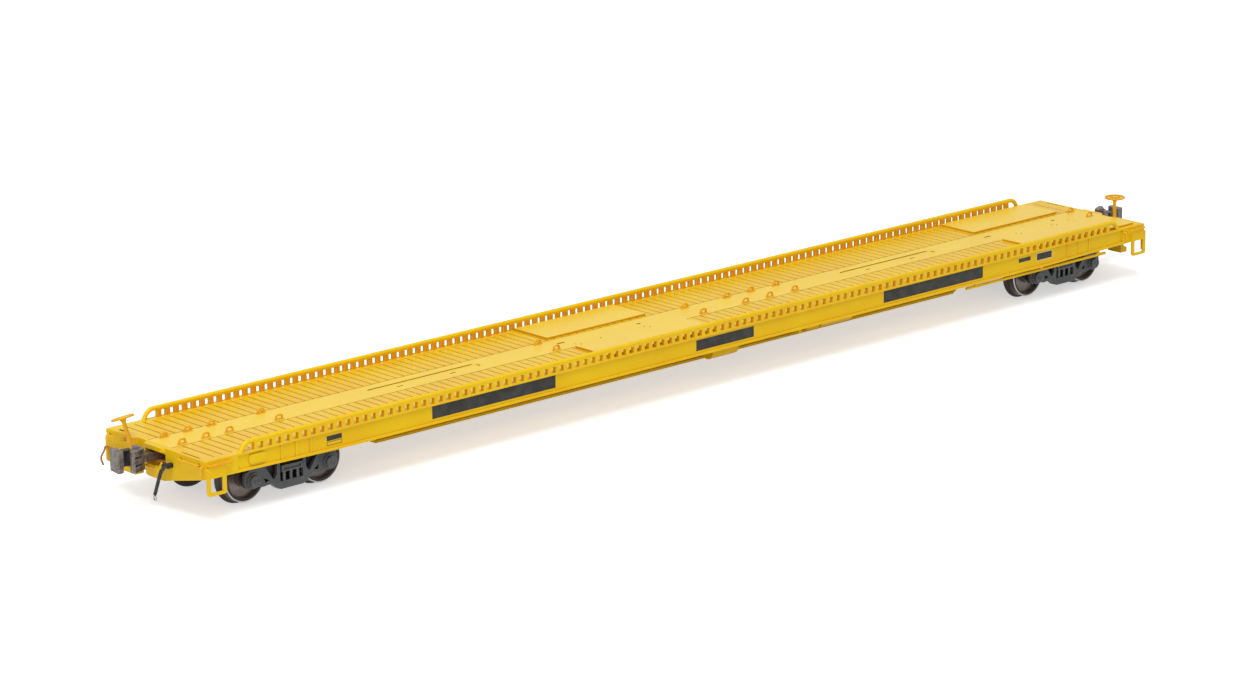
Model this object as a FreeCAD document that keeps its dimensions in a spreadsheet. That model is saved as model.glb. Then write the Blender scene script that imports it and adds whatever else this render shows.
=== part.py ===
import FreeCAD, Part
import math
import os
import Sketcher

# Long piggyback flatcar, a model at 1 to 87.1, modelled in millimetres.
# X runs lengthwise, Y across (near side is negative), Z up.
# Z is zero at the wheel flanges' lowest points.

# Driving sizes
SIZES = [
    ("deckLength", 262.5, "deck over its two ends"),
    ("deckWidth", 31.8, "over the side sill lips"),
    ("deckTop", 12.7, "height of the deck's upper face"),
    ("deckThick", 1.0, "deck plate"),
    ("stripHalf", 3.9, "half the smooth centre strip"),
    ("grooveWidth", 0.25, "plank groove"),
    ("grooveDepth", 0.15, "plank groove"),
    ("groovePitch", 2.092, "plank groove spacing"),
    ("grooveEnd", 2.2, "first groove from the deck plate's end"),
    ("grooveEdge", 0.9, "groove's end from the deck plate's side"),
    ("padHeight", 0.45, "raised wheel pad"),
    ("padInner", 4.4, "raised pad's inner edge from the centre line"),
    ("padEdge", 0.3, "raised pad's outer edge from the deck plate's side"),
    ("padLong", 27.2, "raised pad along X"),
    ("padFirst", 29.2, "left end of the middle pads, left of the middle"),
    ("padNearMore", 3.0, "near middle pad's extra length"),
    ("padInset", 6.95, "far right pad from the deck's end"),
    ("padNearInset", 2.4, "near right pad from the deck's end"),
    ("dishAt", 65.4, "oblong dish from the middle"),
    ("dishLong", 28.4, "oblong dish along X"),
    ("dishWide", 2.7, "oblong dish across"),
    ("dishDeep", 0.15, "oblong dish"),
    ("slotAcross", 0.9, "small slots in the dishes from the centre line"),
    ("slotPitch", 13.6, "small slots in a dish"),
    ("slotLong", 1.5, "small slot along X"),
    ("slotWide", 0.35, "small slot across"),
    ("slotDeep", 0.5, "small slot"),
    ("holeLead", 0.6, "first hole ahead of the pad's start"),
    ("holeLong", 2.1, "first hole along X"),
    ("holeShort", 1.2, "second hole along X"),
    ("holePitch", 21.8, "second hole from the first"),
    ("holeAcross", 0.3, "holes from the centre line"),
    ("holeWide", 0.55, "holes across"),
    ("endHoleAt", 11.7, "hole at the deck's end from the centre line"),
    ("endHoleLong", 1.7, "hole at the deck's end, across the car"),
    ("sillDepth", 4.1, "side sill depth"),
    ("sillEndDepth", 3.5, "side sill depth at its ends"),
    ("sillTaper", 31.0, "length of the side sill's tapered end"),
    ("sillWeb", 0.5, "side sill web thickness"),
    ("sillLip", 0.35, "side sill lip beyond the web"),
    ("lipTop", 0.35, "upper lip height"),
    ("lipBottom", 0.5, "lower lip height"),
    ("ribWidth", 0.35, "rib on the side sill"),
    ("ribProud", 0.2, "rib beyond the web"),
    ("ribInset", 25.2, "innermost rib from the deck's end"),
    ("ribPitch", 3.5, "rib spacing"),
    ("flushLong", 6.6, "level end of the sill's face, longer one"),
    ("flushShort", 6.0, "level end of the sill's face, shorter one"),
    ("plateInset", 10.2, "rounded plate from the deck's end"),
    ("plateLong", 4.1, "rounded plate along X"),
    ("plateDrop", 0.8, "rounded plate's top below the deck"),
    ("plateTall", 1.85, "rounded plate height"),
    ("plateRound", 0.8, "rounded plate's corners"),
    ("plateProud", 0.3, "rounded plate beyond the web"),
    ("endThick", 1.0, "end sill thickness"),
    ("endMiddle", 6.6, "end sill depth in the middle"),
    ("endFlat", 2.4, "half the end sill's level bottom"),
    ("mouthHalf", 3.2, "half the coupler opening's width"),
    ("mouthTop", 1.2, "opening's top below the deck"),
    ("mouthTall", 2.9, "opening height"),
    ("noseHalf", 3.2, "half the striker lip"),
    ("noseOut", 0.65, "striker lip beyond the end sill"),
    ("noseTall", 0.8, "striker lip height"),
    ("noseRound", 1.0, "striker lip's corners"),
    ("notchDeep", 0.7, "recess beside the striker lip"),
    ("notchInner", 3.4, "recess, nearer side from the centre line"),
    ("notchOuter", 6.7, "recess, farther side from the centre line"),
    ("notchRound", 0.5, "recess corners"),
    ("slitWide", 0.35, "slit along the end sill"),
    ("slitDeep", 0.5, "slit along the end sill"),
    ("slitInner", 7.4, "slit, nearer end from the centre line"),
    ("slitOuter", 13.1, "slit, farther end from the centre line"),
    ("railTube", 0.95, "guide rail's top tube diameter"),
    ("railTop", 2.3, "guide rail over the deck"),
    ("postWidth", 0.9, "guide rail post along X"),
    ("postThick", 0.9, "guide rail post across"),
    ("postPitch", 2.092, "guide rail post spacing"),
    ("railEnd", 11.5, "least distance of the last post from the deck's end"),
    ("railInset", 0.5, "rail centre inside the deck's side"),
    ("railGap", 3.1, "tube's foot beyond the last post"),
    ("railLean", 1.1, "tube's foot beyond its corner"),
    ("railBend", 2.1, "bend radius at the tube's ends"),
    ("bellyDepth", 9.3, "centre sill depth below the deck in the middle"),
    ("bellyEndDepth", 3.2, "centre sill depth below the deck at the ends"),
    ("bellyFullInset", 49.75, "end of the full depth from the deck's end"),
    ("bellyTaperInset", 39.25, "end of the taper from the deck's end"),
    ("bellyHalf", 3.2, "half the centre sill's width"),
    ("bellyFlange", 0.5, "bottom flange thickness"),
    ("bellyFlangeHalf", 4.2, "half the bottom flange's width"),
    ("bearerThick", 0.6, "cross bearer thickness"),
    ("bearerOuter", 3.1, "cross bearer depth below the deck at its outer end"),
    ("bearerInner", 6.2, "cross bearer depth below the deck at its inner end"),
    ("bearerFirst", 15.0, "first cross bearer from the middle"),
    ("truckInset", 22.55, "truck centre from the deck's end"),
    ("bolsterHalf", 1.5, "half the body bolster along X"),
    ("bolsterDepth", 2.8, "body bolster depth below the deck"),
    ("plateGap", 0.05, "running gap at the truck's centre plate"),
    ("axleHeight", 5.45, "axle centre over the flange bottoms"),
    ("axleBase", 18.3, "wheelbase"),
    ("axleRadius", 1.2, "axle"),
    ("axleShoulder", 10.9, "where the axle's point begins"),
    ("axleTip", 12.9, "half the axle's length"),
    ("axleTipRadius", 0.25, "axle point"),
    ("seatGap", 0.01, "wheel on its seat"),
    ("wheelFace", 10.0, "wheel's outer face from the centre line"),
    ("wheelWide", 2.79, "wheel rim width"),
    ("treadRadius", 4.82, "wheel tread"),
    ("flangeRadius", 5.45, "wheel flange"),
    ("rimInner", 4.0, "rim's inner radius"),
    ("hubRadius", 1.7, "wheel hub"),
    ("hubProud", 0.15, "hub beyond the rim's faces"),
    ("wheelPlate", 0.9, "wheel plate thickness"),
    ("frameInner", 11.3, "sideframe's inner face"),
    ("frameThick", 1.3, "sideframe thickness"),
    ("frameBack", 0.3, "sideframe's back behind its windows"),
    ("frameTop", 9.3, "sideframe's top"),
    ("frameBottom", 2.4, "sideframe's bottom"),
    ("journalRadius", 1.55, "journal housing"),
    ("journalProud", 0.3, "journal housing beyond the sideframe"),
    ("capRadius", 1.15, "bearing end cap"),
    ("capProud", 0.6, "bearing end cap beyond the housing"),
    ("capBoltRadius", 0.2, "bearing cap's bolt"),
    ("capBoltProud", 0.15, "bearing cap's bolt"),
    ("bearingGap", 0.08, "clearance round the axle's point"),
    ("windowHalf", 2.8, "half the sideframe's spring window"),
    ("windowFloor", 3.9, "spring window's floor"),
    ("windowRoof", 8.3, "spring window's roof"),
    ("beamHalf", 2.45, "half the truck bolster along X"),
    ("beamBottom", 5.8, "truck bolster's underside"),
    ("beamTop", 7.05, "truck bolster's top"),
    ("beamProud", 0.3, "truck bolster's end beyond the sideframe"),
    ("beamPanel", 0.2, "recess in the truck bolster's end"),
    ("beamEdge", 0.35, "edge round that recess"),
    ("shoeGap", 0.3, "brake shoe from the wheel's tread"),
    ("shoeThick", 0.8, "brake shoe"),
    ("shoeTall", 3.6, "brake shoe height"),
    ("shoeInner", 8.3, "brake shoe's inner side from the centre line"),
    ("shoeOuter", 9.9, "brake shoe's outer side from the centre line"),
    ("brakeBeam", 0.7, "brake beam's section"),
    ("plateRadius", 2.6, "truck's centre plate"),
    ("springRadius", 0.48, "coil spring"),
    ("springWire", 0.24, "spring wire's diameter"),
    ("springPitch", 1.65, "spring spacing"),
    ("screwRadius", 1.0, "swivel screw"),
    ("screwGap", 0.08, "clearance round the swivel screw"),
    ("screwHead", 1.9, "swivel screw's head radius"),
    ("screwHeadTall", 0.7, "swivel screw's head height"),
    ("boxHalf", 3.6, "half the coupler box"),
    ("boxLong", 8.1, "coupler box along X"),
    ("boxFloor", 8.6, "coupler box's underside"),
    ("boxWall", 0.6, "coupler box's wall"),
    ("couplerHeight", 10.55, "coupler centre line"),
    ("pivotInset", 6.4, "coupler pivot inside the deck's end"),
    ("pivotRadius", 0.9, "coupler pivot post"),
    ("pivotGap", 0.08, "clearance round the pivot post"),
    ("eyeRadius", 1.75, "coupler shank's eye"),
    ("shankHalf", 1.1, "half the shank's width"),
    ("shankTall", 1.6, "shank height"),
    ("shankGap", 0.1, "clearance above and below the shank"),
    ("shankInto", 0.3, "shank inside the head"),
    ("couplerTurn", 8.0, "left coupler's swing in the photograph in degrees"),
    ("headOut", 2.5, "coupler head's back beyond the deck's end"),
    ("headTall", 4.2, "coupler head height"),
    ("throatStep", 0.55, "knuckle's tail below and above the head's faces"),
    ("armSlotFirst", 0.9, "slots in the guard arm from the head's back"),
    ("armSlotLong", 1.8, "slot in the guard arm along X"),
    ("armSlotTall", 0.45, "slot in the guard arm"),
    ("armSlotAcross", 1.6, "slots' floor from the coupler's centre line"),
    ("armSlotAt", 0.75, "slots above and below the centre line"),
    ("liftAt", 1.0, "lock lifter from the head's back"),
    ("liftRadius", 0.6, "lock lifter on the head"),
    ("liftTall", 0.2, "lock lifter on the head"),
    ("staffRadius", 0.4, "brake staff"),
    ("staffTall", 4.25, "brake wheel's centre over the deck"),
    ("staffFoot", 2.6, "staff's foot below the deck"),
    ("staffAcross", 6.3, "brake staff from the centre line"),
    ("staffFlare", 1.0, "flared top of the staff"),
    ("spokeThin", 0.7, "brake wheel's spoke to its rim's radius"),
    ("bracketTall", 1.2, "staff's bracket"),
    ("staffOut", 0.75, "brake staff beyond the end sill"),
    ("staffLean", 19.0, "lean of the left brake staff in degrees"),
    ("leanTurn", 14.0, "direction of the lean's axis from +X in degrees"),
    ("brakeWheelRadius", 2.35, "brake wheel"),
    ("brakeRim", 0.23, "brake wheel rim's radius"),
    ("stepLong", 4.4, "sill step along X"),
    ("stepBottom", 5.9, "sill step's underside"),
    ("stepTop", 11.4, "top of the step's plate"),
    ("stepStrap", 0.75, "step strap width"),
    ("stepTread", 0.55, "height of the step's tread"),
    ("stepThick", 0.5, "step strap thickness"),
    ("stepHoleTop", 9.3, "top of the step's opening"),
    ("stepRound", 0.6, "step's corners"),
    ("stirrupIn", 2.0, "brake step's depth along X"),
    ("stirrupInner", 6.9, "brake step, nearer side from the centre line"),
    ("stirrupOuter", 10.8, "brake step, farther side from the centre line"),
    ("stirrupLow", 5.3, "brake step's underside"),
    ("stirrupTall", 1.1, "brake step's tread height"),
    ("stirrupStrap", 0.6, "brake step's strap"),
    ("wireRadius", 0.2, "grab irons and levers"),
    ("grabOut", 0.7, "grab iron's stand-off"),
    ("grabDrop", 1.0, "end grab irons below the deck"),
    ("nearGrabInner", 8.1, "grab iron on the slit's side, inner end"),
    ("nearGrabOuter", 13.9, "grab iron on the slit's side, outer end"),
    ("farGrabInner", 9.8, "grab iron on the brake side, inner end"),
    ("farGrabOuter", 14.8, "grab iron on the brake side, outer end"),
    ("sideGrabDrop", 0.75, "side grab irons below the deck"),
    ("sideGrabFirst", 0.4, "side grab iron's start from the deck's end"),
    ("sideGrabLong", 5.4, "side grab iron length"),
    ("cornerGrabInset", 0.6, "upright grab iron from the deck's side"),
    ("ladderInset", 6.7, "upright side grab iron from the deck's end"),
    ("uprightTop", 1.0, "upright grab iron's top below the deck"),
    ("uprightLow", 3.2, "upright grab iron's foot below the deck"),
    ("eyeletInner", 0.5, "eyelet's inner end from the centre line"),
    ("eyeletLong", 2.2, "eyelet under the coupler"),
    ("eyeletDrop", 4.4, "eyelet below the deck"),
    ("leverDrop", 3.2, "cut lever below the deck"),
    ("leverOut", 1.0, "cut lever's stand-off"),
    ("leverStart", 4.6, "cut lever's inner end from the centre line"),
    ("leverEnd", 15.0, "left cut lever's outer end from the centre line"),
    ("leverShort", 14.3, "right cut lever's outer end from the centre line"),
    ("handleOut", 1.6, "cut lever handle's bulge"),
    ("handleTall", 4.0, "cut lever handle"),
    ("wireBend", 0.5, "bend radius of the grab irons and levers"),
    ("hoseRadius", 0.35, "air hose"),
    ("hoseAcross", 4.6, "air hose's start from the centre line"),
    ("hoseReach", 0.6, "air hose's lower end beyond its start"),
    ("hoseElbow", 1.7, "air hose's elbow towards the centre line"),
    ("hoseElbowDrop", 1.8, "air hose's elbow below the valve"),
    ("hoseDrift", 1.3, "air hose's lower end from its elbow towards the centre line"),
    ("hoseLow", 3.6, "air hose's lower end"),
    ("hoseBend", 2.0, "air hose's bend radius"),
    ("valveAt", 9.9, "hose valve's axis"),
    ("cockRadius", 0.5, "hose valve"),
    ("cockOut", 1.1, "hose valve's axis beyond the end sill"),
    ("cockInner", 3.8, "hose valve's inner end from the centre line"),
    ("cockOuter", 5.6, "hose valve's outer end from the centre line"),
    ("clampTall", 0.8, "hose valve's bracket"),
    ("handleRadius", 0.18, "hose valve's handle"),
    ("handleGap", 0.02, "hose valve's handle from the valve"),
    ("handleAcross", 4.4, "hose valve handle's upper end from the centre line"),
    ("handleDrift", 1.7, "hose valve handle's lower end towards the centre line"),
    ("handleTop", 10.5, "hose valve handle's upper end"),
    ("handleLow", 8.0, "hose valve handle's lower end"),
    ("loopRadius", 0.42, "metal loop at the hose's end"),
    ("loopWire", 0.14, "metal loop's wire radius"),
    ("pipeRadius", 0.32, "air pipe under the sill"),
    ("pipeDrop", 0.35, "air pipe's top below the sill"),
    ("pipeStart", 57.0, "air pipe's inner end from the deck's end"),
    ("pipeStop", 12.3, "air pipe's outer end from the deck's end"),
    ("pipeInset", 0.3, "air pipe inside the web's face"),
    ("pipeBracket", 1.0, "air pipe's bracket along X"),
    ("pipeBracketThick", 0.5, "air pipe's bracket across"),
    ("ringRadius", 0.7, "tie-down ring, half the hoop's centre line"),
    ("ringTall", 0.95, "tie-down ring's centre line over the deck"),
    ("ringWire", 0.2, "tie-down ring's wire radius"),
    ("ringAcross", 2.9, "tie-down rings from the centre line"),
    ("ringFoot", 1.05, "tie-down ring's foot from its middle"),
    ("ringFootHalf", 0.3, "half the tie-down ring's foot across"),
    ("ringFootTall", 0.15, "tie-down ring's foot"),
    ("gearAcross", 8.6, "brake gear from the centre line"),
    ("tankRadius", 2.1, "air reservoir"),
    ("tankStart", 35.2, "air reservoir's start from the middle"),
    ("tankLong", 9.0, "air reservoir length"),
    ("tankDrop", 4.1, "air reservoir's axis below the deck plate"),
    ("tankStrap", 0.4, "reservoir strap"),
    ("valveStart", 31.0, "brake valve's start from the middle"),
    ("valveLong", 3.4, "brake valve along X"),
    ("valveHalf", 1.5, "half the brake valve across"),
    ("valveLow", 5.9, "brake valve's underside"),
    ("valveTall", 3.0, "brake valve height"),
    ("drumRadius", 1.9, "brake cylinder"),
    ("drumStart", 3.4, "brake cylinder's start from the middle"),
    ("drumLong", 7.4, "brake cylinder length"),
    ("rodHeight", 6.6, "brake rod's axis"),
    ("rodRadius", 0.35, "brake rod"),
    ("rodLong", 3.2, "piston rod"),
    ("rigStart", 14.6, "long brake rod's start from the middle"),
    ("rigLong", 13.2, "long brake rod"),
    ("rigLever", 0.8, "brake lever's section"),
    ("rigHalf", 3.1, "half the brake lever"),
    ("rigStay", 20.0, "brake rod's stay from the middle"),
    ("footInset", 1.0, "brake cylinder's foot from its ends"),
    ("footHalf", 0.7, "half the feet and straps of the brake gear across"),
]
# Cut levers' handles, bowed on the left and straight on the right: shares of the bulge and of the height
LEVER_HANDLE = ((0.3, 0.25), (1.0, 0.6), (1.0, 0.8), (0.6, 1.0))
STRAIGHT_HANDLE = ((0.0, 0.8),)
# Air pipe's brackets: share of the pipe's length
PIPE_BRACKETS = (0.067, 0.53, 0.946)
# Tie-down rings: left group from the left end, middle ones from the middle, last one from the right end
RING_LEFT = (4.2, 9.8, 15.4, 27.3)
RING_MIDDLE = (-33.0, 7.8, 20.0, 27.0, 34.4)
RING_RIGHT = (3.95,)

doc = FreeCAD.newDocument("flatcar")
kept = []


class Term:
    """A size with its value and the sheet formula that gives it."""

    def __init__(self, value, text):
        self.value = float(value)
        self.text = text

    def __add__(self, other):
        other = term(other)
        return Term(self.value + other.value, "(" + self.text + " + " + other.text + ")")

    def __sub__(self, other):
        other = term(other)
        return Term(self.value - other.value, "(" + self.text + " - " + other.text + ")")

    def __mul__(self, other):
        other = term(other)
        return Term(self.value * other.value, "(" + self.text + " * " + other.text + ")")

    def __truediv__(self, other):
        other = term(other)
        return Term(self.value / other.value, "(" + self.text + " / " + other.text + ")")

    def __neg__(self):
        return Term(-self.value, "(0 - " + self.text + ")")

    __radd__ = __add__
    __rmul__ = __mul__

    def __rsub__(self, other):
        return term(other) - self


def term(value):
    if isinstance(value, Term):
        return value
    return Term(value, "(" + repr(float(value)) + ")")


def fill_sheet():
    sheet = doc.addObject("Spreadsheet::Sheet", "Sizes")
    terms = {}
    for row, (name, value, note) in enumerate(SIZES, 1):
        sheet.set("A%d" % row, name)
        sheet.set("B%d" % row, str(value))
        sheet.set("C%d" % row, note)
        sheet.setAlias("B%d" % row, name)
        terms[name] = Term(value, "Sizes." + name)
    doc.recompute()
    return terms


S = fill_sheet()

# Sizes that several pieces share
HALF = S["deckLength"] / 2
SIDE = S["deckWidth"] / 2
TOP = S["deckTop"]
UNDER = TOP - S["deckThick"]
WEB_OUT = SIDE - S["sillLip"]
WEB_IN = WEB_OUT - S["sillWeb"]
INNER_END = HALF - S["endThick"]
FRAME_OUT = S["frameInner"] + S["frameThick"]
RAIL_Y = SIDE - S["railInset"]
TRUCK_X = HALF - S["truckInset"]
BELLY_FULL = HALF - S["bellyFullInset"]
BELLY_START = HALF - S["bellyTaperInset"]
PAD_SECOND = HALF - S["padInset"] - S["padLong"]
GEAR_Y = -S["gearAcross"]
Y_AXIS = FreeCAD.Vector(0, 1, 0)
Z_AXIS = FreeCAD.Vector(0, 0, 1)


def bind(thing, prop, value):
    value = term(value)
    thing.setExpression(prop, value.text)


def place(thing, x, y, z, rotation=None):
    x, y, z = term(x), term(y), term(z)
    spot = FreeCAD.Vector(x.value, y.value, z.value)
    thing.Placement = FreeCAD.Placement(spot, rotation or FreeCAD.Rotation())
    bind(thing, "Placement.Base.x", x)
    bind(thing, "Placement.Base.y", y)
    bind(thing, "Placement.Base.z", z)
    return thing


def keep(thing, label):
    thing.Label = label
    kept.append(thing)
    return thing


def box(name, x, y, z):
    """A block between the pairs x, y and z, given in either order."""
    thing = doc.addObject("Part::Box", name)
    low = []
    for prop, (a, b) in zip(("Length", "Width", "Height"), (x, y, z)):
        a, b = term(a), term(b)
        if a.value > b.value:
            a, b = b, a
        setattr(thing, prop, b.value - a.value)
        bind(thing, prop, b - a)
        low.append(a)
    return place(thing, *low)


AXES = {
    "x": FreeCAD.Rotation(FreeCAD.Vector(0, 1, 0), 90),
    "y": FreeCAD.Rotation(FreeCAD.Vector(1, 0, 0), -90),
    "z": FreeCAD.Rotation(),
}


def cylinder(name, radius, start, length, axis="z"):
    """A round bar from the point start along the positive axis."""
    thing = doc.addObject("Part::Cylinder", name)
    bind(thing, "Radius", radius)
    bind(thing, "Height", length)
    return place(thing, *start, AXES[axis])


def fuse(name, things):
    if len(things) == 1:
        return things[0]
    thing = doc.addObject("Part::MultiFuse", name)
    thing.Shapes = things
    return thing


def cut(name, base, tool):
    thing = doc.addObject("Part::Cut", name)
    thing.Base = base
    thing.Tool = tool
    return thing


def rounded(name, base, radius, wanted):
    """The base with every edge that wanted accepts rounded off."""
    doc.recompute()
    thing = doc.addObject("Part::Fillet", name)
    thing.Base = base
    edges = []
    for number, edge in enumerate(base.Shape.Edges, 1):
        if wanted(edge):
            edges.append((number, radius.value, radius.value))
    thing.Edges = edges
    return thing


def runs_along(edge, axis):
    return edge.tangentAt(edge.FirstParameter).cross(axis).Length < 0.001


def oblong(name, x, y, z):
    """A block between the pairs x, y and z with half-round ends along X."""
    radius = (term(y[1]) - y[0]) / 2
    middle = term(y[0]) + radius
    tall = term(z[1]) - z[0]
    block = box(name + "_block", (x[0] + radius, x[1] - radius), y, z)
    centres = (x[0] + radius, x[1] - radius)
    ends = [cylinder(name + "_end", radius, (at, middle, z[0]), tall) for at in centres]
    return fuse(name, [block] + ends)


def group(name, things):
    thing = doc.addObject("Part::Compound", name)
    thing.Links = things
    return thing


def plane(body, role):
    return [f for f in body.Origin.OriginFeatures if f.Role == role][0]


def new_sketch(body, name, role, offset=None):
    sketch = body.newObject("Sketcher::SketchObject", name)
    sketch.AttachmentSupport = [(plane(body, role), "")]
    sketch.MapMode = "FlatFace"
    if offset is not None:
        bind(sketch, "AttachmentOffset.Base.z", offset)
    return sketch


def outline(sketch, points):
    """A closed polygon whose corners are bound to the sheet."""
    points = [(term(a), term(b)) for a, b in points]
    first = sketch.GeometryCount
    count = len(points)
    for i in range(count):
        a = points[i]
        b = points[(i + 1) % count]
        start = FreeCAD.Vector(a[0].value, a[1].value, 0)
        stop = FreeCAD.Vector(b[0].value, b[1].value, 0)
        sketch.addGeometry(Part.LineSegment(start, stop), False)
    for i in range(count):
        after = first + (i + 1) % count
        sketch.addConstraint(Sketcher.Constraint("Coincident", first + i, 2, after, 1))
    for i, point in enumerate(points):
        for kind, value in zip(("DistanceX", "DistanceY"), point):
            rule = Sketcher.Constraint(kind, -1, 1, first + i, 1, value.value)
            index = sketch.addConstraint(rule)
            sketch.setExpression("Constraints[%d]" % index, value.text)
    return sketch


def rectangle(sketch, x, y):
    corners = [(x[0], y[0]), (x[1], y[0]), (x[1], y[1]), (x[0], y[1])]
    return outline(sketch, corners)


def pad(body, sketch, name, length, symmetric=False, reverse=False):
    feature = body.newObject("PartDesign::Pad", name)
    feature.Profile = sketch
    bind(feature, "Length", length)
    if symmetric:
        feature.SideType = "Symmetric"
    feature.Reversed = reverse
    return feature


def pocket(body, sketch, name, length, symmetric=False, reverse=False):
    feature = body.newObject("PartDesign::Pocket", name)
    feature.Profile = sketch
    bind(feature, "Length", length)
    if symmetric:
        feature.SideType = "Symmetric"
    feature.Reversed = reverse
    return feature


def new_body(name):
    return doc.addObject("PartDesign::Body", name)


def make_deck():
    body = new_body("deck_body")
    sketch = new_sketch(body, "deck_outline", "XY_Plane", UNDER)
    rectangle(sketch, (-INNER_END, INNER_END), (-WEB_IN, WEB_IN))
    pad(body, sketch, "deck_plate", S["deckThick"])
    doc.recompute()
    groove = new_sketch(body, "groove_outline", "XY_Plane", TOP)
    start = -INNER_END + S["grooveEnd"]
    across = WEB_IN - S["grooveEdge"]
    for side in (-1, 1):
        rectangle(groove, (start, start + S["grooveWidth"]), (side * S["stripHalf"], side * across))
    first = pocket(body, groove, "groove", S["grooveDepth"])
    doc.recompute()
    rows = body.newObject("PartDesign::LinearPattern", "grooves")
    rows.Originals = [first]
    rows.Direction = (plane(body, "X_Axis"), [""])
    rows.Mode = "Spacing"
    bind(rows, "Offset", S["groovePitch"])
    run = INNER_END * 2 - S["grooveEnd"] * 2
    rows.setExpression("Occurrences", "floor(" + (run / S["groovePitch"]).text + ") + 1")
    body.Tip = rows
    doc.recompute()
    seam = new_sketch(body, "seam_outline", "XY_Plane", TOP)
    for side in (-1, 1):
        near = side * S["stripHalf"]
        rectangle(seam, (-INNER_END, INNER_END), (near - S["grooveWidth"] * side, near))
    pocket(body, seam, "seams", S["grooveDepth"])
    tools = fuse("deck_cuts", deck_dishes() + deck_holes())
    keep(cut("deck_whole", body, tools), "deck")


def deck_dishes():
    """Two shallow oblong dishes in the centre strip, each with two small slots."""
    tools = []
    half = S["dishLong"] / 2
    wide = S["dishWide"] / 2
    for end in (-1, 1):
        middle = end * S["dishAt"]
        long, tall = (middle - half, middle + half), (TOP - S["dishDeep"], TOP * 2)
        tools.append(oblong("dish", long, (-wide, wide), tall))
        for step in (-1, 1):
            x = middle + step * S["slotPitch"] / 2
            long = (x - S["slotLong"] / 2, x + S["slotLong"] / 2)
            y = -S["slotAcross"]
            tools.append(box("slot", long, (y, y + S["slotWide"]), (TOP - S["slotDeep"], TOP)))
    return tools


def deck_holes():
    """Holes beside the pads in the centre strip, and one at each end of the deck."""
    tools = []
    deep = (TOP - S["slotDeep"], TOP * 2)
    across = (S["holeAcross"], S["holeAcross"] + S["holeWide"])
    for start in (-S["padFirst"], PAD_SECOND):
        first = start - S["holeLead"]
        second = first + S["holePitch"]
        tools.append(box("hole", (first, first + S["holeLong"]), across, deep))
        tools.append(box("hole", (second, second + S["holeShort"]), across, deep))
    for end in (-1, 1):
        y = -end * S["endHoleAt"]
        long = (end * INNER_END, end * (INNER_END - S["holeWide"]))
        tools.append(box("end_hole", long, (y, y - end * S["endHoleLong"]), deep))
    return tools


def make_pads():
    solids = []
    tall = (TOP, TOP + S["padHeight"])
    far = (S["padInner"], WEB_IN - S["padEdge"])
    near = (-far[0], -far[1])
    left = -S["padFirst"]
    solids.append(box("wheel_pad", (left, left + S["padLong"]), far, tall))
    solids.append(box("wheel_pad", (left, left + S["padLong"] + S["padNearMore"]), near, tall))
    solids.append(box("wheel_pad", (PAD_SECOND, PAD_SECOND + S["padLong"]), far, tall))
    solids.append(box("wheel_pad", (PAD_SECOND, HALF - S["padNearInset"]), near, tall))
    keep(group("wheel_pads_group", solids), "deck_wheel_pads")


def sill_edge(low):
    """Points along the side sill's lower edge, raised by low, from left to right."""
    full = TOP - S["sillDepth"] + low
    ends = TOP - S["sillEndDepth"] + low
    bend = HALF - S["sillTaper"]
    return [(-INNER_END, ends), (-bend, full), (bend, full), (INNER_END, ends)]


def sill_height(x, low):
    """Height of the side sill's lower edge at x in its tapered end, raised by low."""
    ends = TOP - S["sillEndDepth"] + low
    share = (INNER_END - x) / (INNER_END - HALF + S["sillTaper"])
    return ends - (S["sillDepth"] - S["sillEndDepth"]) * share


def make_side_sill(side, label):
    body = new_body(label + "_body")
    web = new_sketch(body, label + "_web", "XZ_Plane", -side * WEB_IN)
    whole = sill_edge(0) + [(INNER_END, TOP), (-INNER_END, TOP)]
    outline(web, whole)
    pad(body, web, label + "_web_pad", S["sillWeb"], reverse=side > 0)
    lips = new_sketch(body, label + "_lips", "XZ_Plane", -side * WEB_OUT)
    outline(lips, whole)
    reach = (INNER_END - S["flushLong"], INNER_END - S["flushShort"])
    left, right = reach if side < 0 else reversed(reach)
    low = S["lipBottom"]
    lower = [(-left, sill_height(left, low))] + sill_edge(low)[1:3] + [(right, sill_height(right, low))]
    upper = [(right, TOP - S["lipTop"]), (-left, TOP - S["lipTop"])]
    outline(lips, lower + upper)
    pad(body, lips, label + "_lip_pad", S["sillLip"], reverse=side > 0)
    ribs = new_sketch(body, label + "_ribs", "XZ_Plane", -side * WEB_OUT)
    for end in (-1, 1):
        for i in range(3):
            x = end * (HALF - S["ribInset"] + S["ribPitch"] * i)
            tall = (TOP - S["sillDepth"] + S["lipBottom"], TOP - S["lipTop"])
            rectangle(ribs, (x, x + end * S["ribWidth"]), tall)
    pad(body, ribs, label + "_rib_pad", S["ribProud"], reverse=side > 0)
    keep(fuse(label + "_whole", [body, sill_plate(side, label)]), label)


def sill_plate(side, label):
    """Rounded plate on the sill's web: near side at the left end, far side at the right end."""
    start = side * (HALF - S["plateInset"])
    top = TOP - S["plateDrop"]
    across = (side * WEB_OUT, side * (WEB_OUT + S["plateProud"]))
    plate = box(label + "_plate", (start, start - side * S["plateLong"]), across, (top - S["plateTall"], top))
    return rounded(label + "_plate_round", plate, S["plateRound"], lambda edge: runs_along(edge, Y_AXIS))


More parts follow.
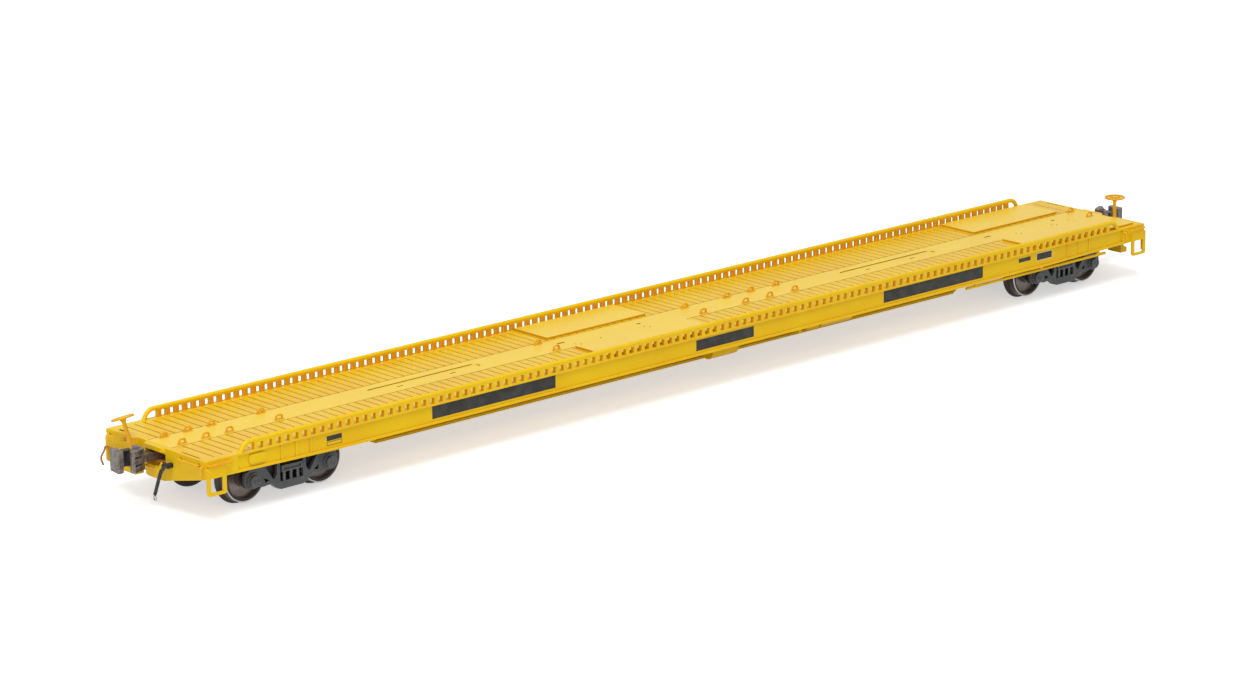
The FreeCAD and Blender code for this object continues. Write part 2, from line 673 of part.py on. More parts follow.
def make_end_sill(end, label):
    body = new_body(label + "_body")
    sketch = new_sketch(body, label + "_plate", "YZ_Plane", end * INNER_END)
    low = TOP - S["sillEndDepth"]
    deep = TOP - S["endMiddle"]
    lower = [(-SIDE, low), (-S["endFlat"], deep), (S["endFlat"], deep), (SIDE, low)]
    outline(sketch, lower + [(SIDE, TOP), (-SIDE, TOP)])
    roof = TOP - S["mouthTop"]
    rectangle(sketch, (-S["mouthHalf"], S["mouthHalf"]), (roof - S["mouthTall"], roof))
    pad(body, sketch, label + "_pad", S["endThick"], reverse=end < 0)
    whole = fuse(label + "_fused", [body, end_nose(end, label)])
    tools = fuse(label + "_cuts", [end_notch(end, label), end_slit(end, label)])
    keep(cut(label + "_whole", whole, tools), label)


def end_nose(end, label):
    """Striker lip over the coupler, with its two outer corners rounded."""
    front = HALF + S["noseOut"]
    back = HALF - S["endThick"] / 2
    half = S["noseHalf"]
    nose = box(label + "_nose", (end * back, end * front), (-half, half), (TOP - S["noseTall"], TOP))
    return rounded(label + "_nose_round", nose, S["noseRound"], lambda edge: outer_corner(edge, front))


def outer_corner(edge, x):
    """True for an upright edge at the distance x from the middle."""
    return runs_along(edge, Z_AXIS) and abs(abs(edge.Vertexes[0].X) - x.value) < 0.001


def end_notch(end, label):
    """Recess in the end sill between the striker lip and the brake staff."""
    back = HALF - S["notchDeep"]
    across = (-end * S["notchInner"], -end * S["notchOuter"])
    notch = box(label + "_notch", (end * back, end * (HALF + 1)), across, (0, TOP * 2))
    return rounded(label + "_notch_round", notch, S["notchRound"], lambda edge: outer_corner(edge, back))


def end_slit(end, label):
    across = (end * S["slitInner"], end * S["slitOuter"])
    long = (end * INNER_END, end * (INNER_END + S["slitWide"]))
    return box(label + "_slit", long, across, (TOP - S["slitDeep"], TOP * 2))


def make_guide_rail(side, label):
    room = (HALF - S["railEnd"]) * 2 - S["postWidth"]
    openings = Term(int(room.value / S["postPitch"].value), "floor(" + (room / S["postPitch"]).text + ")")
    span = openings * S["postPitch"] + S["postWidth"]
    tube_at = TOP + S["railTop"] - S["railTube"] / 2
    body = new_body(label + "_body")
    comb = new_sketch(body, label + "_comb", "XZ_Plane", -side * RAIL_Y)
    rectangle(comb, (-span / 2, span / 2), (TOP, tube_at))
    pad(body, comb, label + "_comb_pad", S["postThick"], symmetric=True)
    doc.recompute()
    gap = new_sketch(body, label + "_gap", "XZ_Plane", -side * RAIL_Y)
    left = -span / 2 + S["postWidth"]
    wide = S["postPitch"] - S["postWidth"]
    roof = TOP + S["railTop"] - S["railTube"]
    rectangle(gap, (left, left + wide), (TOP - S["grooveDepth"], roof))
    first = pocket(body, gap, label + "_gap_cut", S["postThick"] * 3, symmetric=True)
    doc.recompute()
    rows = body.newObject("PartDesign::LinearPattern", label + "_gaps")
    rows.Originals = [first]
    rows.Direction = (plane(body, "X_Axis"), [""])
    rows.Mode = "Spacing"
    bind(rows, "Offset", S["postPitch"])
    rows.Occurrences = int(openings.value)
    rows.setExpression("Occurrences", openings.text)
    body.Tip = rows
    doc.recompute()
    tube = rail_tube(side, span, tube_at, label)
    keep(fuse(label + "_whole", [body, tube]), label)


def rail_tube(side, span, tube_at, label):
    """The round top tube, whose ends come down to the deck at a slant."""
    y = side * RAIL_Y
    corner = span / 2 + S["railGap"] - S["railLean"]
    slope = S["railLean"] / (tube_at - TOP)
    low = TOP - S["railTube"]
    foot = corner + slope * (tube_at - low)
    points = [(-foot, y, low), (-corner, y, tube_at), (corner, y, tube_at), (foot, y, low)]
    thing = doc.addObject("Part::Feature", label + "_tube")
    tube = bent_bar(points, S["railTube"] / 2, S["railBend"])
    thing.Shape = tube.cut(floor_block(tube, TOP))
    return thing


def floor_block(shape, height):
    """A block that holds all of the shape's space below the height."""
    room = shape.BoundBox
    room.enlarge(1)
    low = FreeCAD.Vector(room.XMin, room.YMin, room.ZMin)
    return Part.makeBox(room.XLength, room.YLength, height.value - room.ZMin, low)


def make_centre_sill():
    body = new_body("centre_sill_body")
    sketch = new_sketch(body, "belly_outline", "XZ_Plane")
    end = HALF - S["endThick"] - S["boxLong"]
    thin = TOP - S["bellyEndDepth"]
    deep = TOP - S["bellyDepth"]
    start, full = BELLY_START, BELLY_FULL
    lower = [(-end, thin), (-start, thin), (-full, deep), (full, deep), (start, thin), (end, thin)]
    outline(sketch, lower + [(end, UNDER), (-end, UNDER)])
    pad(body, sketch, "belly_pad", S["bellyHalf"] * 2, symmetric=True)
    flange = new_sketch(body, "flange_outline", "XZ_Plane")
    lift = S["bellyFlange"]
    edge = lower[1:5]
    raised = [(x, z + lift) for x, z in edge]
    outline(flange, edge + list(reversed(raised)))
    pad(body, flange, "flange_pad", S["bellyFlangeHalf"] * 2, symmetric=True)
    doc.recompute()
    holes = new_sketch(body, "screw_holes", "XY_Plane")
    for side in (-1, 1):
        centre = side * TRUCK_X
        circle(holes, centre, 0, S["screwRadius"] + S["seatGap"])
    pocket(body, holes, "screw_hole_cut", TOP, reverse=True)
    keep(body, "centre_sill")


def circle(sketch, x, y, radius):
    x, y, radius = term(x), term(y), term(radius)
    spot = FreeCAD.Vector(x.value, y.value, 0)
    index = sketch.addGeometry(Part.Circle(spot, FreeCAD.Vector(0, 0, 1), radius.value), False)
    rule = sketch.addConstraint(Sketcher.Constraint("Radius", index, radius.value))
    sketch.setExpression("Constraints[%d]" % rule, radius.text)
    for kind, value in (("DistanceX", x), ("DistanceY", y)):
        rule = sketch.addConstraint(Sketcher.Constraint(kind, -1, 1, index, 3, value.value))
        sketch.setExpression("Constraints[%d]" % rule, value.text)


def make_bearers():
    solids = []
    for end in (-1, 1):
        for i in range(3):
            pitch = (BELLY_FULL - S["bearerFirst"]) / 2
            x = end * (S["bearerFirst"] + pitch * i) - S["bearerThick"] / 2
            for side in (-1, 1):
                body = new_body("bearer_body")
                sketch = new_sketch(body, "bearer_outline", "YZ_Plane", x)
                near, far = side * S["bellyHalf"], side * WEB_IN
                points = [(near, UNDER), (far, UNDER), (far, TOP - S["bearerOuter"])]
                outline(sketch, points + [(near, TOP - S["bearerInner"])])
                pad(body, sketch, "bearer_pad", S["bearerThick"])
                solids.append(body)
    keep(group("bearers_group", solids), "cross_bearers")


def make_body_bolsters():
    solids = []
    for end in (-1, 1):
        x = end * TRUCK_X
        for side in (-1, 1):
            across = (side * S["bellyHalf"], side * WEB_IN)
            tall = (TOP - S["bolsterDepth"], UNDER)
            long = (x - S["bolsterHalf"], x + S["bolsterHalf"])
            solids.append(box("body_bolster", long, across, tall))
    keep(group("body_bolsters_group", solids), "body_bolsters")


def make_coupler_box(end, label):
    outer = end * INNER_END
    inner = end * (INNER_END - S["boxLong"])
    half = S["boxHalf"]
    shell = box(label + "_shell", (outer, inner), (-half, half), (S["boxFloor"], UNDER))
    low = S["couplerHeight"] - S["shankTall"] / 2 - S["shankGap"]
    high = S["couplerHeight"] + S["shankTall"] / 2 + S["shankGap"]
    back = end * (INNER_END - S["boxLong"] + S["boxWall"])
    wide = half - S["boxWall"]
    hollow = box(label + "_hollow", (outer, back), (-wide, wide), (low, high))
    body = cut(label + "_cut", shell, hollow)
    pivot = end * (HALF - S["pivotInset"])
    post = cylinder(label + "_post", S["pivotRadius"], (pivot, 0, S["boxFloor"]), UNDER - S["boxFloor"])
    keep(fuse(label + "_whole", [body, post]), label)


def make_screw(end, label):
    x = end * TRUCK_X
    head_top = S["beamBottom"] - S["plateGap"]
    shaft = cylinder(label + "_shaft", S["screwRadius"], (x, 0, head_top), UNDER - head_top)
    low = head_top - S["screwHeadTall"]
    head = cylinder(label + "_head", S["screwHead"], (x, 0, low), S["screwHeadTall"])
    keep(fuse(label + "_whole", [shaft, head]), label)


# Sideframe outline from the truck's centre, right half, X and Z
FRAME_EDGE = [
    (3.2, 9.3), (5.2, 8.75), (7.7, 7.95), (9.6, 7.75), (10.8, 7.2), (11.1, 6.5), (11.1, 4.8), (10.6, 4.1),
    (8.0, 4.0), (7.0, 3.75), (4.95, 3.95), (4.2, 3.3), (3.4, 2.65), (2.6, 2.4),
]
FRAME_WINDOW = [(3.35, 7.85), (6.35, 7.55), (5.25, 5.95), (4.5, 4.8), (4.1, 4.7), (3.45, 5.7)]
FRAME_SMALL = [(5.35, 4.75), (6.65, 5.5), (6.4, 4.35)]


def frame_points(points, sign):
    """Frame points that follow the wheelbase, top, bottom and axle height."""
    result = []
    for x, z in points:
        if x > 7.5:
            along = S["axleBase"] / 2 + (x - 9.15)
            high = S["axleHeight"] + (z - 5.45)
        elif z > 8.5:
            along = term(x)
            high = S["frameTop"] + (z - 9.3)
        elif z < 3.4:
            along = term(x)
            high = S["frameBottom"] + (z - 2.4)
        else:
            along = term(x)
            high = S["axleHeight"] + (z - 5.45)
        result.append((sign * along, high))
    return result


def make_sideframe(end, side, label):
    centre = end * TRUCK_X
    inner = side * S["frameInner"]
    body = new_body(label + "_body")
    sketch = new_sketch(body, label + "_frame", "XZ_Plane", -inner)
    points = frame_points(FRAME_EDGE, 1) + list(reversed(frame_points(FRAME_EDGE, -1)))
    outline(sketch, points)
    rectangle(sketch, (-S["windowHalf"], S["windowHalf"]), (S["windowFloor"], S["windowRoof"]))
    for sign in (-1, 1):
        outline(sketch, frame_points(FRAME_WINDOW, sign))
        outline(sketch, frame_points(FRAME_SMALL, sign))
    pad(body, sketch, label + "_pad", S["frameThick"], reverse=side > 0)
    turned = side < 0
    solids = [body, frame_back(label, side)]
    tools = []
    reach = S["frameThick"] + S["journalProud"]
    for sign in (-1, 1):
        x = sign * S["axleBase"] / 2
        z = S["axleHeight"]
        solids.append(round_bar(label + "_housing", S["journalRadius"], x, inner, z, reach, turned))
        cap_at = side * (FRAME_OUT + S["journalProud"])
        solids.append(round_bar(label + "_cap", S["capRadius"], x, cap_at, z, S["capProud"], turned))
        bolt_at = cap_at + side * S["capProud"]
        bolt = round_bar(label + "_bolt", S["capBoltRadius"], x, bolt_at, z, S["capBoltProud"], turned)
        solids.append(bolt)
        tools.append(bearing_tool(label, x, z, side, turned))
    whole = fuse(label + "_fused", solids)
    thing = cut(label + "_cut", whole, fuse(label + "_bores", tools))
    place(thing, centre, 0, 0)
    keep(thing, label)


def frame_back(label, side):
    """Thin back of the sideframe, open only where the truck's bolster passes."""
    body = new_body(label + "_back")
    sketch = new_sketch(body, label + "_back_outline", "XZ_Plane", -side * S["frameInner"])
    points = frame_points(FRAME_EDGE, 1) + list(reversed(frame_points(FRAME_EDGE, -1)))
    outline(sketch, points)
    tall = (S["beamBottom"] - S["plateGap"], S["windowRoof"])
    rectangle(sketch, (-S["windowHalf"], S["windowHalf"]), tall)
    pad(body, sketch, label + "_back_pad", S["frameBack"], reverse=side > 0)
    return body


def round_bar(name, radius, x, y, z, length, turned):
    """A bar along Y that grows away from the centre line."""
    thing = doc.addObject("Part::Cylinder", name)
    bind(thing, "Radius", radius)
    bind(thing, "Height", length)
    turn = FreeCAD.Rotation(FreeCAD.Vector(1, 0, 0), 90 if turned else -90)
    return place(thing, x, y, z, turn)


def bearing_tool(label, x, z, side, turned):
    gap = S["bearingGap"]
    start = side * S["axleShoulder"]
    length = S["axleTip"] - S["axleShoulder"] + gap
    thing = doc.addObject("Part::Cone", label + "_bore")
    bind(thing, "Radius1", S["axleRadius"] + gap * 1.2)
    bind(thing, "Radius2", S["axleTipRadius"] + gap)
    bind(thing, "Height", length)
    turn = FreeCAD.Rotation(FreeCAD.Vector(1, 0, 0), 90 if turned else -90)
    return place(thing, x, start, z, turn)


def make_truck_bolster(end, label):
    centre = end * TRUCK_X
    reach = FRAME_OUT + S["beamProud"]
    half = S["beamHalf"]
    beam = box(label + "_beam", (-half, half), (-reach, reach), (S["beamBottom"], S["beamTop"]))
    plate_top = TOP - S["bellyEndDepth"] - S["plateGap"]
    plate = cylinder(label + "_plate", S["plateRadius"], (0, 0, S["beamTop"]), plate_top - S["beamTop"])
    hole_radius = S["screwRadius"] + S["screwGap"]
    tools = [cylinder(label + "_hole", hole_radius, (0, 0, 0), TOP)]
    edge = S["beamEdge"]
    for side in (-1, 1):
        deep = (side * (reach - S["beamPanel"]), side * (reach + 1))
        tall = (S["beamBottom"] + edge, S["beamTop"] - edge)
        tools.append(box(label + "_panel", (edge - half, half - edge), deep, tall))
    thing = cut(label + "_cut", fuse(label + "_fused", [beam, plate]), fuse(label + "_cuts", tools))
    place(thing, centre, 0, 0)
    keep(thing, label)


def make_brakes(end, label):
    """Two brake beams, each with a shoe at both wheels, on the truck's inner sides."""
    solids = []
    middle = S["axleHeight"]
    shoe_at = S["axleBase"] / 2 - S["treadRadius"] - S["shoeGap"]
    tall = (middle - S["shoeTall"] / 2, middle + S["shoeTall"] / 2)
    beam_tall = (middle - S["brakeBeam"] / 2, S["beamBottom"] - S["plateGap"])
    for sign in (-1, 1):
        back = shoe_at - S["shoeThick"]
        parts = []
        for side in (-1, 1):
            across = (side * S["shoeInner"], side * S["shoeOuter"])
            parts.append(box(label + "_shoe", (sign * back, sign * shoe_at), across, tall))
        reach = S["frameInner"]
        long = (sign * back, sign * (back - S["brakeBeam"]))
        parts.append(box(label + "_beam", long, (-reach, reach), beam_tall))
        solids.append(fuse(label + "_set", parts))
    thing = group(label + "_group", solids)
    place(thing, end * TRUCK_X, 0, 0)
    keep(thing, label)


def make_springs(end, label):
    """Six coil springs, three in each sideframe window, as stacked rings on a core."""
    centre = end * TRUCK_X
    tall = S["beamBottom"] - S["windowFloor"]
    rings = 5
    solids = []
    for side in (-1, 1):
        y = side * (S["frameInner"] + (S["frameThick"] + S["frameBack"]) / 2)
        for i in (-1, 0, 1):
            x = i * S["springPitch"]
            core = S["springRadius"] - S["springWire"] / 2
            parts = [cylinder(label + "_core", core, (x, y, S["windowFloor"]), tall)]
            for k in range(rings):
                z = S["windowFloor"] + tall * ((k + 0.5) / rings)
                ring = doc.addObject("Part::Torus", label + "_coil")
                bind(ring, "Radius1", S["springRadius"] - S["springWire"] / 2)
                bind(ring, "Radius2", S["springWire"] / 2)
                parts.append(place(ring, x, y, z))
            solids.append(fuse(label + "_spring", parts))
    thing = group(label + "_group", solids)
    place(thing, centre, 0, 0)
    keep(thing, label)


def make_wheels(end, sign, label):
    """Two wheels, turned about Y, with their outer faces at the gauge."""
    face = S["wheelFace"]
    back = face - S["wheelWide"]
    middle = face - S["wheelWide"] / 2
    half_plate = S["wheelPlate"] / 2
    bore = S["axleRadius"] + S["seatGap"]
    proud = S["hubProud"]
    tread = S["treadRadius"]
    flange = S["flangeRadius"]
    profile = [
        (back - proud, bore), (back - proud, S["hubRadius"]), (middle - half_plate, S["hubRadius"] + 0.15),
        (middle - half_plate, S["rimInner"] - 0.15), (back, S["rimInner"]), (back, flange - 0.25),
        (back + 0.15, flange - 0.05), (back + 0.33, flange), (back + 0.55, flange - 0.1),
        (back + 0.75, tread + 0.14), (back + 0.92, tread + 0.03), (face - 0.15, tread - 0.04),
        (face, tread - 0.2), (face, S["rimInner"]), (middle + half_plate, S["rimInner"] - 0.15),
        (middle + half_plate, S["hubRadius"] + 0.15), (face + proud, S["hubRadius"]), (face + proud, bore),
    ]
    solids = []
    for side in (-1, 1):
        body = new_body(label + "_wheel")
        sketch = new_sketch(body, label + "_profile", "YZ_Plane")
        outline(sketch, [(side * y, r) for y, r in profile])
        turned = body.newObject("PartDesign::Revolution", label + "_turned")
        turned.Profile = sketch
        turned.ReferenceAxis = (plane(body, "Y_Axis"), [""])
        turned.Angle = 360
        solids.append(body)
    thing = group(label + "_group", solids)
    place(thing, end * TRUCK_X + sign * S["axleBase"] / 2, 0, S["axleHeight"])
    keep(thing, label)


def make_axle(end, sign, label):
    shoulder = S["axleShoulder"]
    bar = round_bar(label + "_bar", S["axleRadius"], 0, -shoulder, 0, shoulder * 2, False)
    parts = [bar]
    for side in (-1, 1):
        tip = doc.addObject("Part::Cone", label + "_point")
        bind(tip, "Radius1", S["axleRadius"])
        bind(tip, "Radius2", S["axleTipRadius"])
        bind(tip, "Height", S["axleTip"] - shoulder)
        turn = FreeCAD.Rotation(FreeCAD.Vector(1, 0, 0), 90 if side < 0 else -90)
        parts.append(place(tip, 0, side * shoulder, 0, turn))
    thing = fuse(label + "_whole", parts)
    place(thing, end * TRUCK_X + sign * S["axleBase"] / 2, 0, S["axleHeight"])
    keep(thing, label)


# Coupler head outlines seen from above: distance out from the head's back, and across
GUARD_ARM = [
    (0.0, -1.3), (0.8, -1.8), (2.7, -2.6), (3.3, -2.45), (3.2, -1.5), (2.3, -1.1), (1.7, -0.2),
    (1.6, 0.6), (1.0, 2.0), (0.0, 1.5),
]
KNUCKLE_TAIL = [(1.75, 0.75), (2.6, 0.9), (4.2, 0.9), (4.2, 2.2), (2.6, 2.4), (1.3, 2.2)]
KNUCKLE_FACE = [(4.4, -1.15), (5.4, -1.3), (5.6, -1.1), (5.6, 2.1), (5.4, 2.3), (3.9, 2.35), (4.2, 0.9)]


def make_coupler(end, label, turn):
    """Shank with its guard arm, and knuckle, placed and turned about the pivot."""
    head = end * (S["pivotInset"] + S["headOut"])
    low = S["couplerHeight"] - S["shankTall"] / 2
    half = S["shankHalf"]
    shank = box(label + "_bar", (0, head + end * S["shankInto"]), (-half, half), (low, low + S["shankTall"]))
    eye = cylinder(label + "_eye", S["eyeRadius"], (0, 0, low), S["shankTall"])
    tall = S["headTall"]
    arm = head_piece(label + "_guard", head, end, GUARD_ARM, tall)
    lift_at = head + end * S["liftAt"]
    lift_tall = tall / 2 + S["liftTall"]
    lift = cylinder(label + "_lift", S["liftRadius"], (lift_at, 0, S["couplerHeight"]), lift_tall)
    whole = fuse(label + "_fused", [shank, eye, arm, lift])
    hole_radius = S["pivotRadius"] + S["pivotGap"]
    tools = [cylinder(label + "_hole", hole_radius, (0, 0, 0), TOP * 2)]
    first = head + end * S["armSlotFirst"]
    for step in (-1, 1):
        z = S["couplerHeight"] + step * S["armSlotAt"] - S["armSlotTall"] / 2
        across = (end * S["armSlotAcross"], end * S["armSlotAcross"] * 3)
        long = (first, first + end * S["armSlotLong"])
        tools.append(box(label + "_slot", long, across, (z, z + S["armSlotTall"])))
    turning = FreeCAD.Rotation(FreeCAD.Vector(0, 0, 1), turn)
    pivot = end * (HALF - S["pivotInset"])
    body = cut(label + "_cut", whole, fuse(label + "_cuts", tools))
    keep(place(body, pivot, 0, 0, turning), label + "_shank")
    tail = head_piece(label + "_tail", head, end, KNUCKLE_TAIL, tall - S["throatStep"] * 2)
    face = head_piece(label + "_face", head, end, KNUCKLE_FACE, tall)
    knuckle = fuse(label + "_hook", [tail, face])
    keep(place(knuckle, pivot, 0, 0, turning), label + "_knuckle")


def head_piece(name, head, end, points, tall):
    body = new_body(name)
    low = S["couplerHeight"] - tall / 2
    sketch = new_sketch(body, name + "_outline", "XY_Plane", low)
    outline(sketch, [(head + end * out, -end * across) for out, across in points])
    pad(body, sketch, name + "_pad", tall)
    return body


def make_brake_staff(end, label, turn):
    """Staff with its wheel and bracket, one moulding, turned about its foot."""
    out = S["staffOut"]
    tall = S["staffTall"] + S["staffFoot"]
    post = cylinder(label + "_post", S["staffRadius"], (0, 0, 0), tall)
    flare = doc.addObject("Part::Cone", label + "_flare")
    bind(flare, "Radius1", S["staffRadius"])
    bind(flare, "Radius2", S["staffRadius"] * 2)
    bind(flare, "Height", S["staffFlare"])
    place(flare, 0, 0, tall - S["staffFlare"])
    rim = doc.addObject("Part::Torus", label + "_rim")
    bind(rim, "Radius1", S["brakeWheelRadius"] - S["brakeRim"])
    bind(rim, "Radius2", S["brakeRim"])
    place(rim, 0, 0, tall)
    half = S["staffRadius"]
    bracket = box(label + "_bracket", (0, -end * out), (-half, half), (0, S["bracketTall"]))
    thing = fuse(label + "_whole", [post, flare, rim, bracket] + wheel_spokes(label, tall))
    place(thing, end * (HALF + out), -end * S["staffAcross"], TOP - S["staffFoot"], turn)
    keep(thing, label)


def wheel_spokes(label, height):
    """Three bars across the brake wheel."""
    spokes = []
    reach = S["brakeWheelRadius"] - S["brakeRim"]
    for i in range(3):
        degrees = 60 * i + 30
        spoke = doc.addObject("Part::Cylinder", label + "_spoke")
        bind(spoke, "Radius", S["brakeRim"] * S["spokeThin"])
        bind(spoke, "Height", reach * 2)
        turn = FreeCAD.Rotation(FreeCAD.Vector(0, 0, 1), degrees)
        turn = turn.multiply(FreeCAD.Rotation(FreeCAD.Vector(0, 1, 0), 90))
        x = -reach * math.cos(math.radians(degrees))
        y = -reach * math.sin(math.radians(degrees))
        spokes.append(place(spoke, x, y, height, turn))
    return spokes


def make_steps():
    solids = []
    strap = S["stepStrap"]
    for end in (-1, 1):
        for side in (-1, 1):
            x = (end * HALF, end * (HALF - S["stepLong"]))
            y = (side * SIDE, side * (SIDE + S["stepThick"]))
            plate = box("step_plate", x, y, (S["stepBottom"], S["stepTop"]))
            plate = rounded("step_round", plate, S["stepRound"], lambda edge: runs_along(edge, Y_AXIS))
            hole_x = (end * (HALF - strap), end * (HALF - S["stepLong"] + strap))
            hole_y = (side * (SIDE - 1), side * (SIDE + 1))
            hole = box("step_hole", hole_x, hole_y, (S["stepBottom"] + S["stepTread"], S["stepHoleTop"]))
            solids.append(cut("step", plate, hole))
    keep(group("steps_group", solids), "sill_steps")


def make_brake_steps():
    """A small step under the end sill on the brake side, its straps behind the sill."""
    solids = []
    top = TOP - S["sillEndDepth"]
    for end in (-1, 1):
        x = (end * HALF, end * (HALF - S["stirrupIn"]))
        inner, outer = S["stirrupInner"], S["stirrupOuter"]
        low = S["stirrupLow"]
        parts = [box("brake_step_tread", x, (-end * inner, -end * outer), (low, low + S["stirrupTall"]))]
        for edge, step in ((inner, 1), (outer, -1)):
            y = (-end * edge, -end * (edge + step * S["stirrupStrap"]))
            behind = (end * INNER_END, x[1])
            parts.append(box("brake_step_strap", behind, y, (low, top)))
        solids.append(fuse("brake_step", parts))
    keep(group("brake_steps_group", solids), "brake_steps")


def bent_bar(points, radius, bend):
    """A round bar along straight runs, its corners rounded to the bend radius."""
    vectors = [FreeCAD.Vector(*[term(c).value for c in p]) for p in points]
    edges = []
    start = vectors[0]
    for i in range(1, len(vectors) - 1):
        before = vectors[i] - vectors[i - 1]
        after = vectors[i + 1] - vectors[i]
        half_turn = math.tan(before.getAngle(after) / 2)
        room = min(term(bend).value * half_turn, 0.45 * before.Length, 0.45 * after.Length)
        back = vectors[i] - before.normalize() * room
        ahead = vectors[i] + after.normalize() * room
        curve = room / half_turn
        inward = (ahead - vectors[i]) + (back - vectors[i])
        inward.normalize()
        middle = vectors[i] + inward * (math.hypot(curve, room) - curve)
        edges.append(Part.LineSegment(start, back).toShape())
        edges.append(Part.Arc(back, middle, ahead).toShape())
        start = ahead
    edges.append(Part.LineSegment(start, vectors[-1]).toShape())
    path = Part.Wire(edges)
    along = vectors[1] - vectors[0]
    ring = Part.Wire([Part.Circle(vectors[0], along, term(radius).value).toShape()])
    return path.makePipeShell([ring], True, True)


def bar_feature(name, points, radius, bend):
    thing = doc.addObject("Part::Feature", name)
    thing.Shape = bent_bar(points, radius, bend)
    return thing


def hoop(name, first, last, out):
    """A grab iron between two points, standing off by the offsets in out."""
    shifted = [tuple(term(a) + b for a, b in zip(point, out)) for point in (first, last)]
    return bar_feature(name, [first, shifted[0], shifted[1], last], S["wireRadius"], S["wireBend"])


def make_grab_irons():
    solids = []
    off = S["grabOut"]
    across = TOP - S["grabDrop"]
    high, low = TOP - S["uprightTop"], TOP - S["uprightLow"]
    beside = TOP - S["sideGrabDrop"]
    for end in (-1, 1):
        face = end * HALF
        out = (end * off, 0, 0)
        for sign, which in ((end, "nearGrab"), (-end, "farGrab")):
            inner, outer = sign * S[which + "Inner"], sign * S[which + "Outer"]
            solids.append(hoop("end_grab", (face, inner, across), (face, outer, across), out))
        y = end * (SIDE - S["cornerGrabInset"])
        solids.append(hoop("corner_grab", (face, y, high), (face, y, low), out))
        x = end * (HALF - S["ladderInset"])
        y = -end * SIDE
        solids.append(hoop("upright_grab", (x, y, high), (x, y, low), (0, -end * off, 0)))
        start = HALF - S["sideGrabFirst"]
        for side in (-1, 1):
            first = (end * start, side * SIDE, beside)
            last = (end * (start - S["sideGrabLong"]), side * SIDE, beside)
            solids.append(hoop("side_grab", first, last, (0, side * off, 0)))
        y = -end * S["eyeletInner"]
        z = TOP - S["eyeletDrop"]
        solids.append(hoop("eyelet", (face, y, z), (face, y - end * S["eyeletLong"], z), out))
    keep(group("grabs_group", solids), "grab_irons")


def make_cut_lever(end, label, reach, handle):
    x = end * HALF
    out = end * (HALF + S["leverOut"])
    z = TOP - S["leverDrop"]
    inner, outer = -end * S["leverStart"], -end * reach
    points = [(x, inner, z), (out, inner, z), (out, outer, z)]
    for share, fall in handle:
        points.append((out, outer - end * S["handleOut"] * share, z - S["handleTall"] * fall))
    keep(bar_feature(label + "_bar", points, S["wireRadius"], S["wireBend"]), label)


def make_air_hose(end, label):
    """Valve with its bracket and the short hose under it."""
    face = end * HALF
    x = end * (HALF + S["cockOut"])
    z = S["valveAt"]
    inner, outer = end * S["cockInner"], end * S["cockOuter"]
    start = inner if end > 0 else outer
    valve = cylinder(label + "_cock", S["cockRadius"], (x, start, z), S["cockOuter"] - S["cockInner"], "y")
    half = S["clampTall"] / 2
    middle = (inner + outer) / 2
    clamp = box(label + "_clamp", (face, x), (middle, outer), (z - half, z + half))
    low, elbow = hose_end(end), end * (S["hoseAcross"] - S["hoseElbow"])
    points = [(x, end * S["hoseAcross"], z), (x, elbow, z - S["hoseElbowDrop"]), low]
    hose = bar_feature(label + "_tube", points, S["hoseRadius"], S["hoseBend"])
    keep(fuse(label + "_whole", [valve, clamp, hose]), label)


def hose_end(end):
    """The hose's lower end."""
    x = end * (HALF + S["cockOut"] + S["hoseReach"])
    y = end * (S["hoseAcross"] - S["hoseElbow"] - S["hoseDrift"])
    return x, y, S["hoseLow"]


def make_hose_handle(end, label):
    x = end * (HALF + S["cockOut"] + S["cockRadius"] + S["handleGap"] + S["handleRadius"])
    y = end * S["handleAcross"]
    points = [(x, y, S["handleTop"]), (x, y - end * S["handleDrift"], S["handleLow"])]
    keep(bar_feature(label + "_bar", points, S["handleRadius"], S["wireBend"]), label)


def make_hose_loop(end, label):
    """Metal loop at the hose's lower end."""
    x, y, z = hose_end(end)
    loop = doc.addObject("Part::Torus", label + "_ring")
    bind(loop, "Radius1", S["loopRadius"])
    bind(loop, "Radius2", S["loopWire"])
    place(loop, x, y, z - S["loopRadius"] - S["loopWire"] * 2, AXES["x"])
    keep(loop, label)


def make_side_pipe():
    z = TOP - S["sillDepth"] - S["pipeDrop"] - S["pipeRadius"]
    y = -(WEB_OUT - S["pipeInset"])
    start = HALF - S["pipeStart"]
    long = S["pipeStart"] - S["pipeStop"]
    pipe = cylinder("pipe_bar", S["pipeRadius"], (start, y, z), long, "x")
    half = S["pipeBracket"] / 2
    thick = S["pipeBracketThick"] / 2
    brackets = []
    for share in PIPE_BRACKETS:
        x = start + long * share
        tall = (z, TOP - S["sillDepth"])
        brackets.append(box("pipe_bracket", (x - half, x + half), (y - thick, y + thick), tall))
    keep(fuse("pipe_whole", [pipe] + brackets), "side_air_pipe")


def make_rings():
    places = [inset - HALF for inset in RING_LEFT]
    places += [term(x) for x in RING_MIDDLE]
    places += [HALF - inset for inset in RING_RIGHT]
    solids = []
    for x in places:
        for side in (-1, 1):
            solids.append(tie_ring(x, side * S["ringAcross"]))
    keep(group("rings_group", solids), "tie_down_rings")


def tie_ring(x, y):
    """A hoop on a small foot plate."""
    base = TOP + S["ringFootTall"]
    top = TOP + S["ringTall"]
    left, right = x - S["ringRadius"], x + S["ringRadius"]
    points = [(left, y, TOP), (left, y, top), (right, y, top), (right, y, TOP)]
    bow = bar_feature("ring_bow", points, S["ringWire"], S["ringRadius"])
    half = S["ringFootHalf"]
    foot = S["ringFoot"]
    plate = box("ring_foot", (x - foot, x + foot), (y - half, y + half), (TOP, base))
    return fuse("tie_ring", [bow, plate])


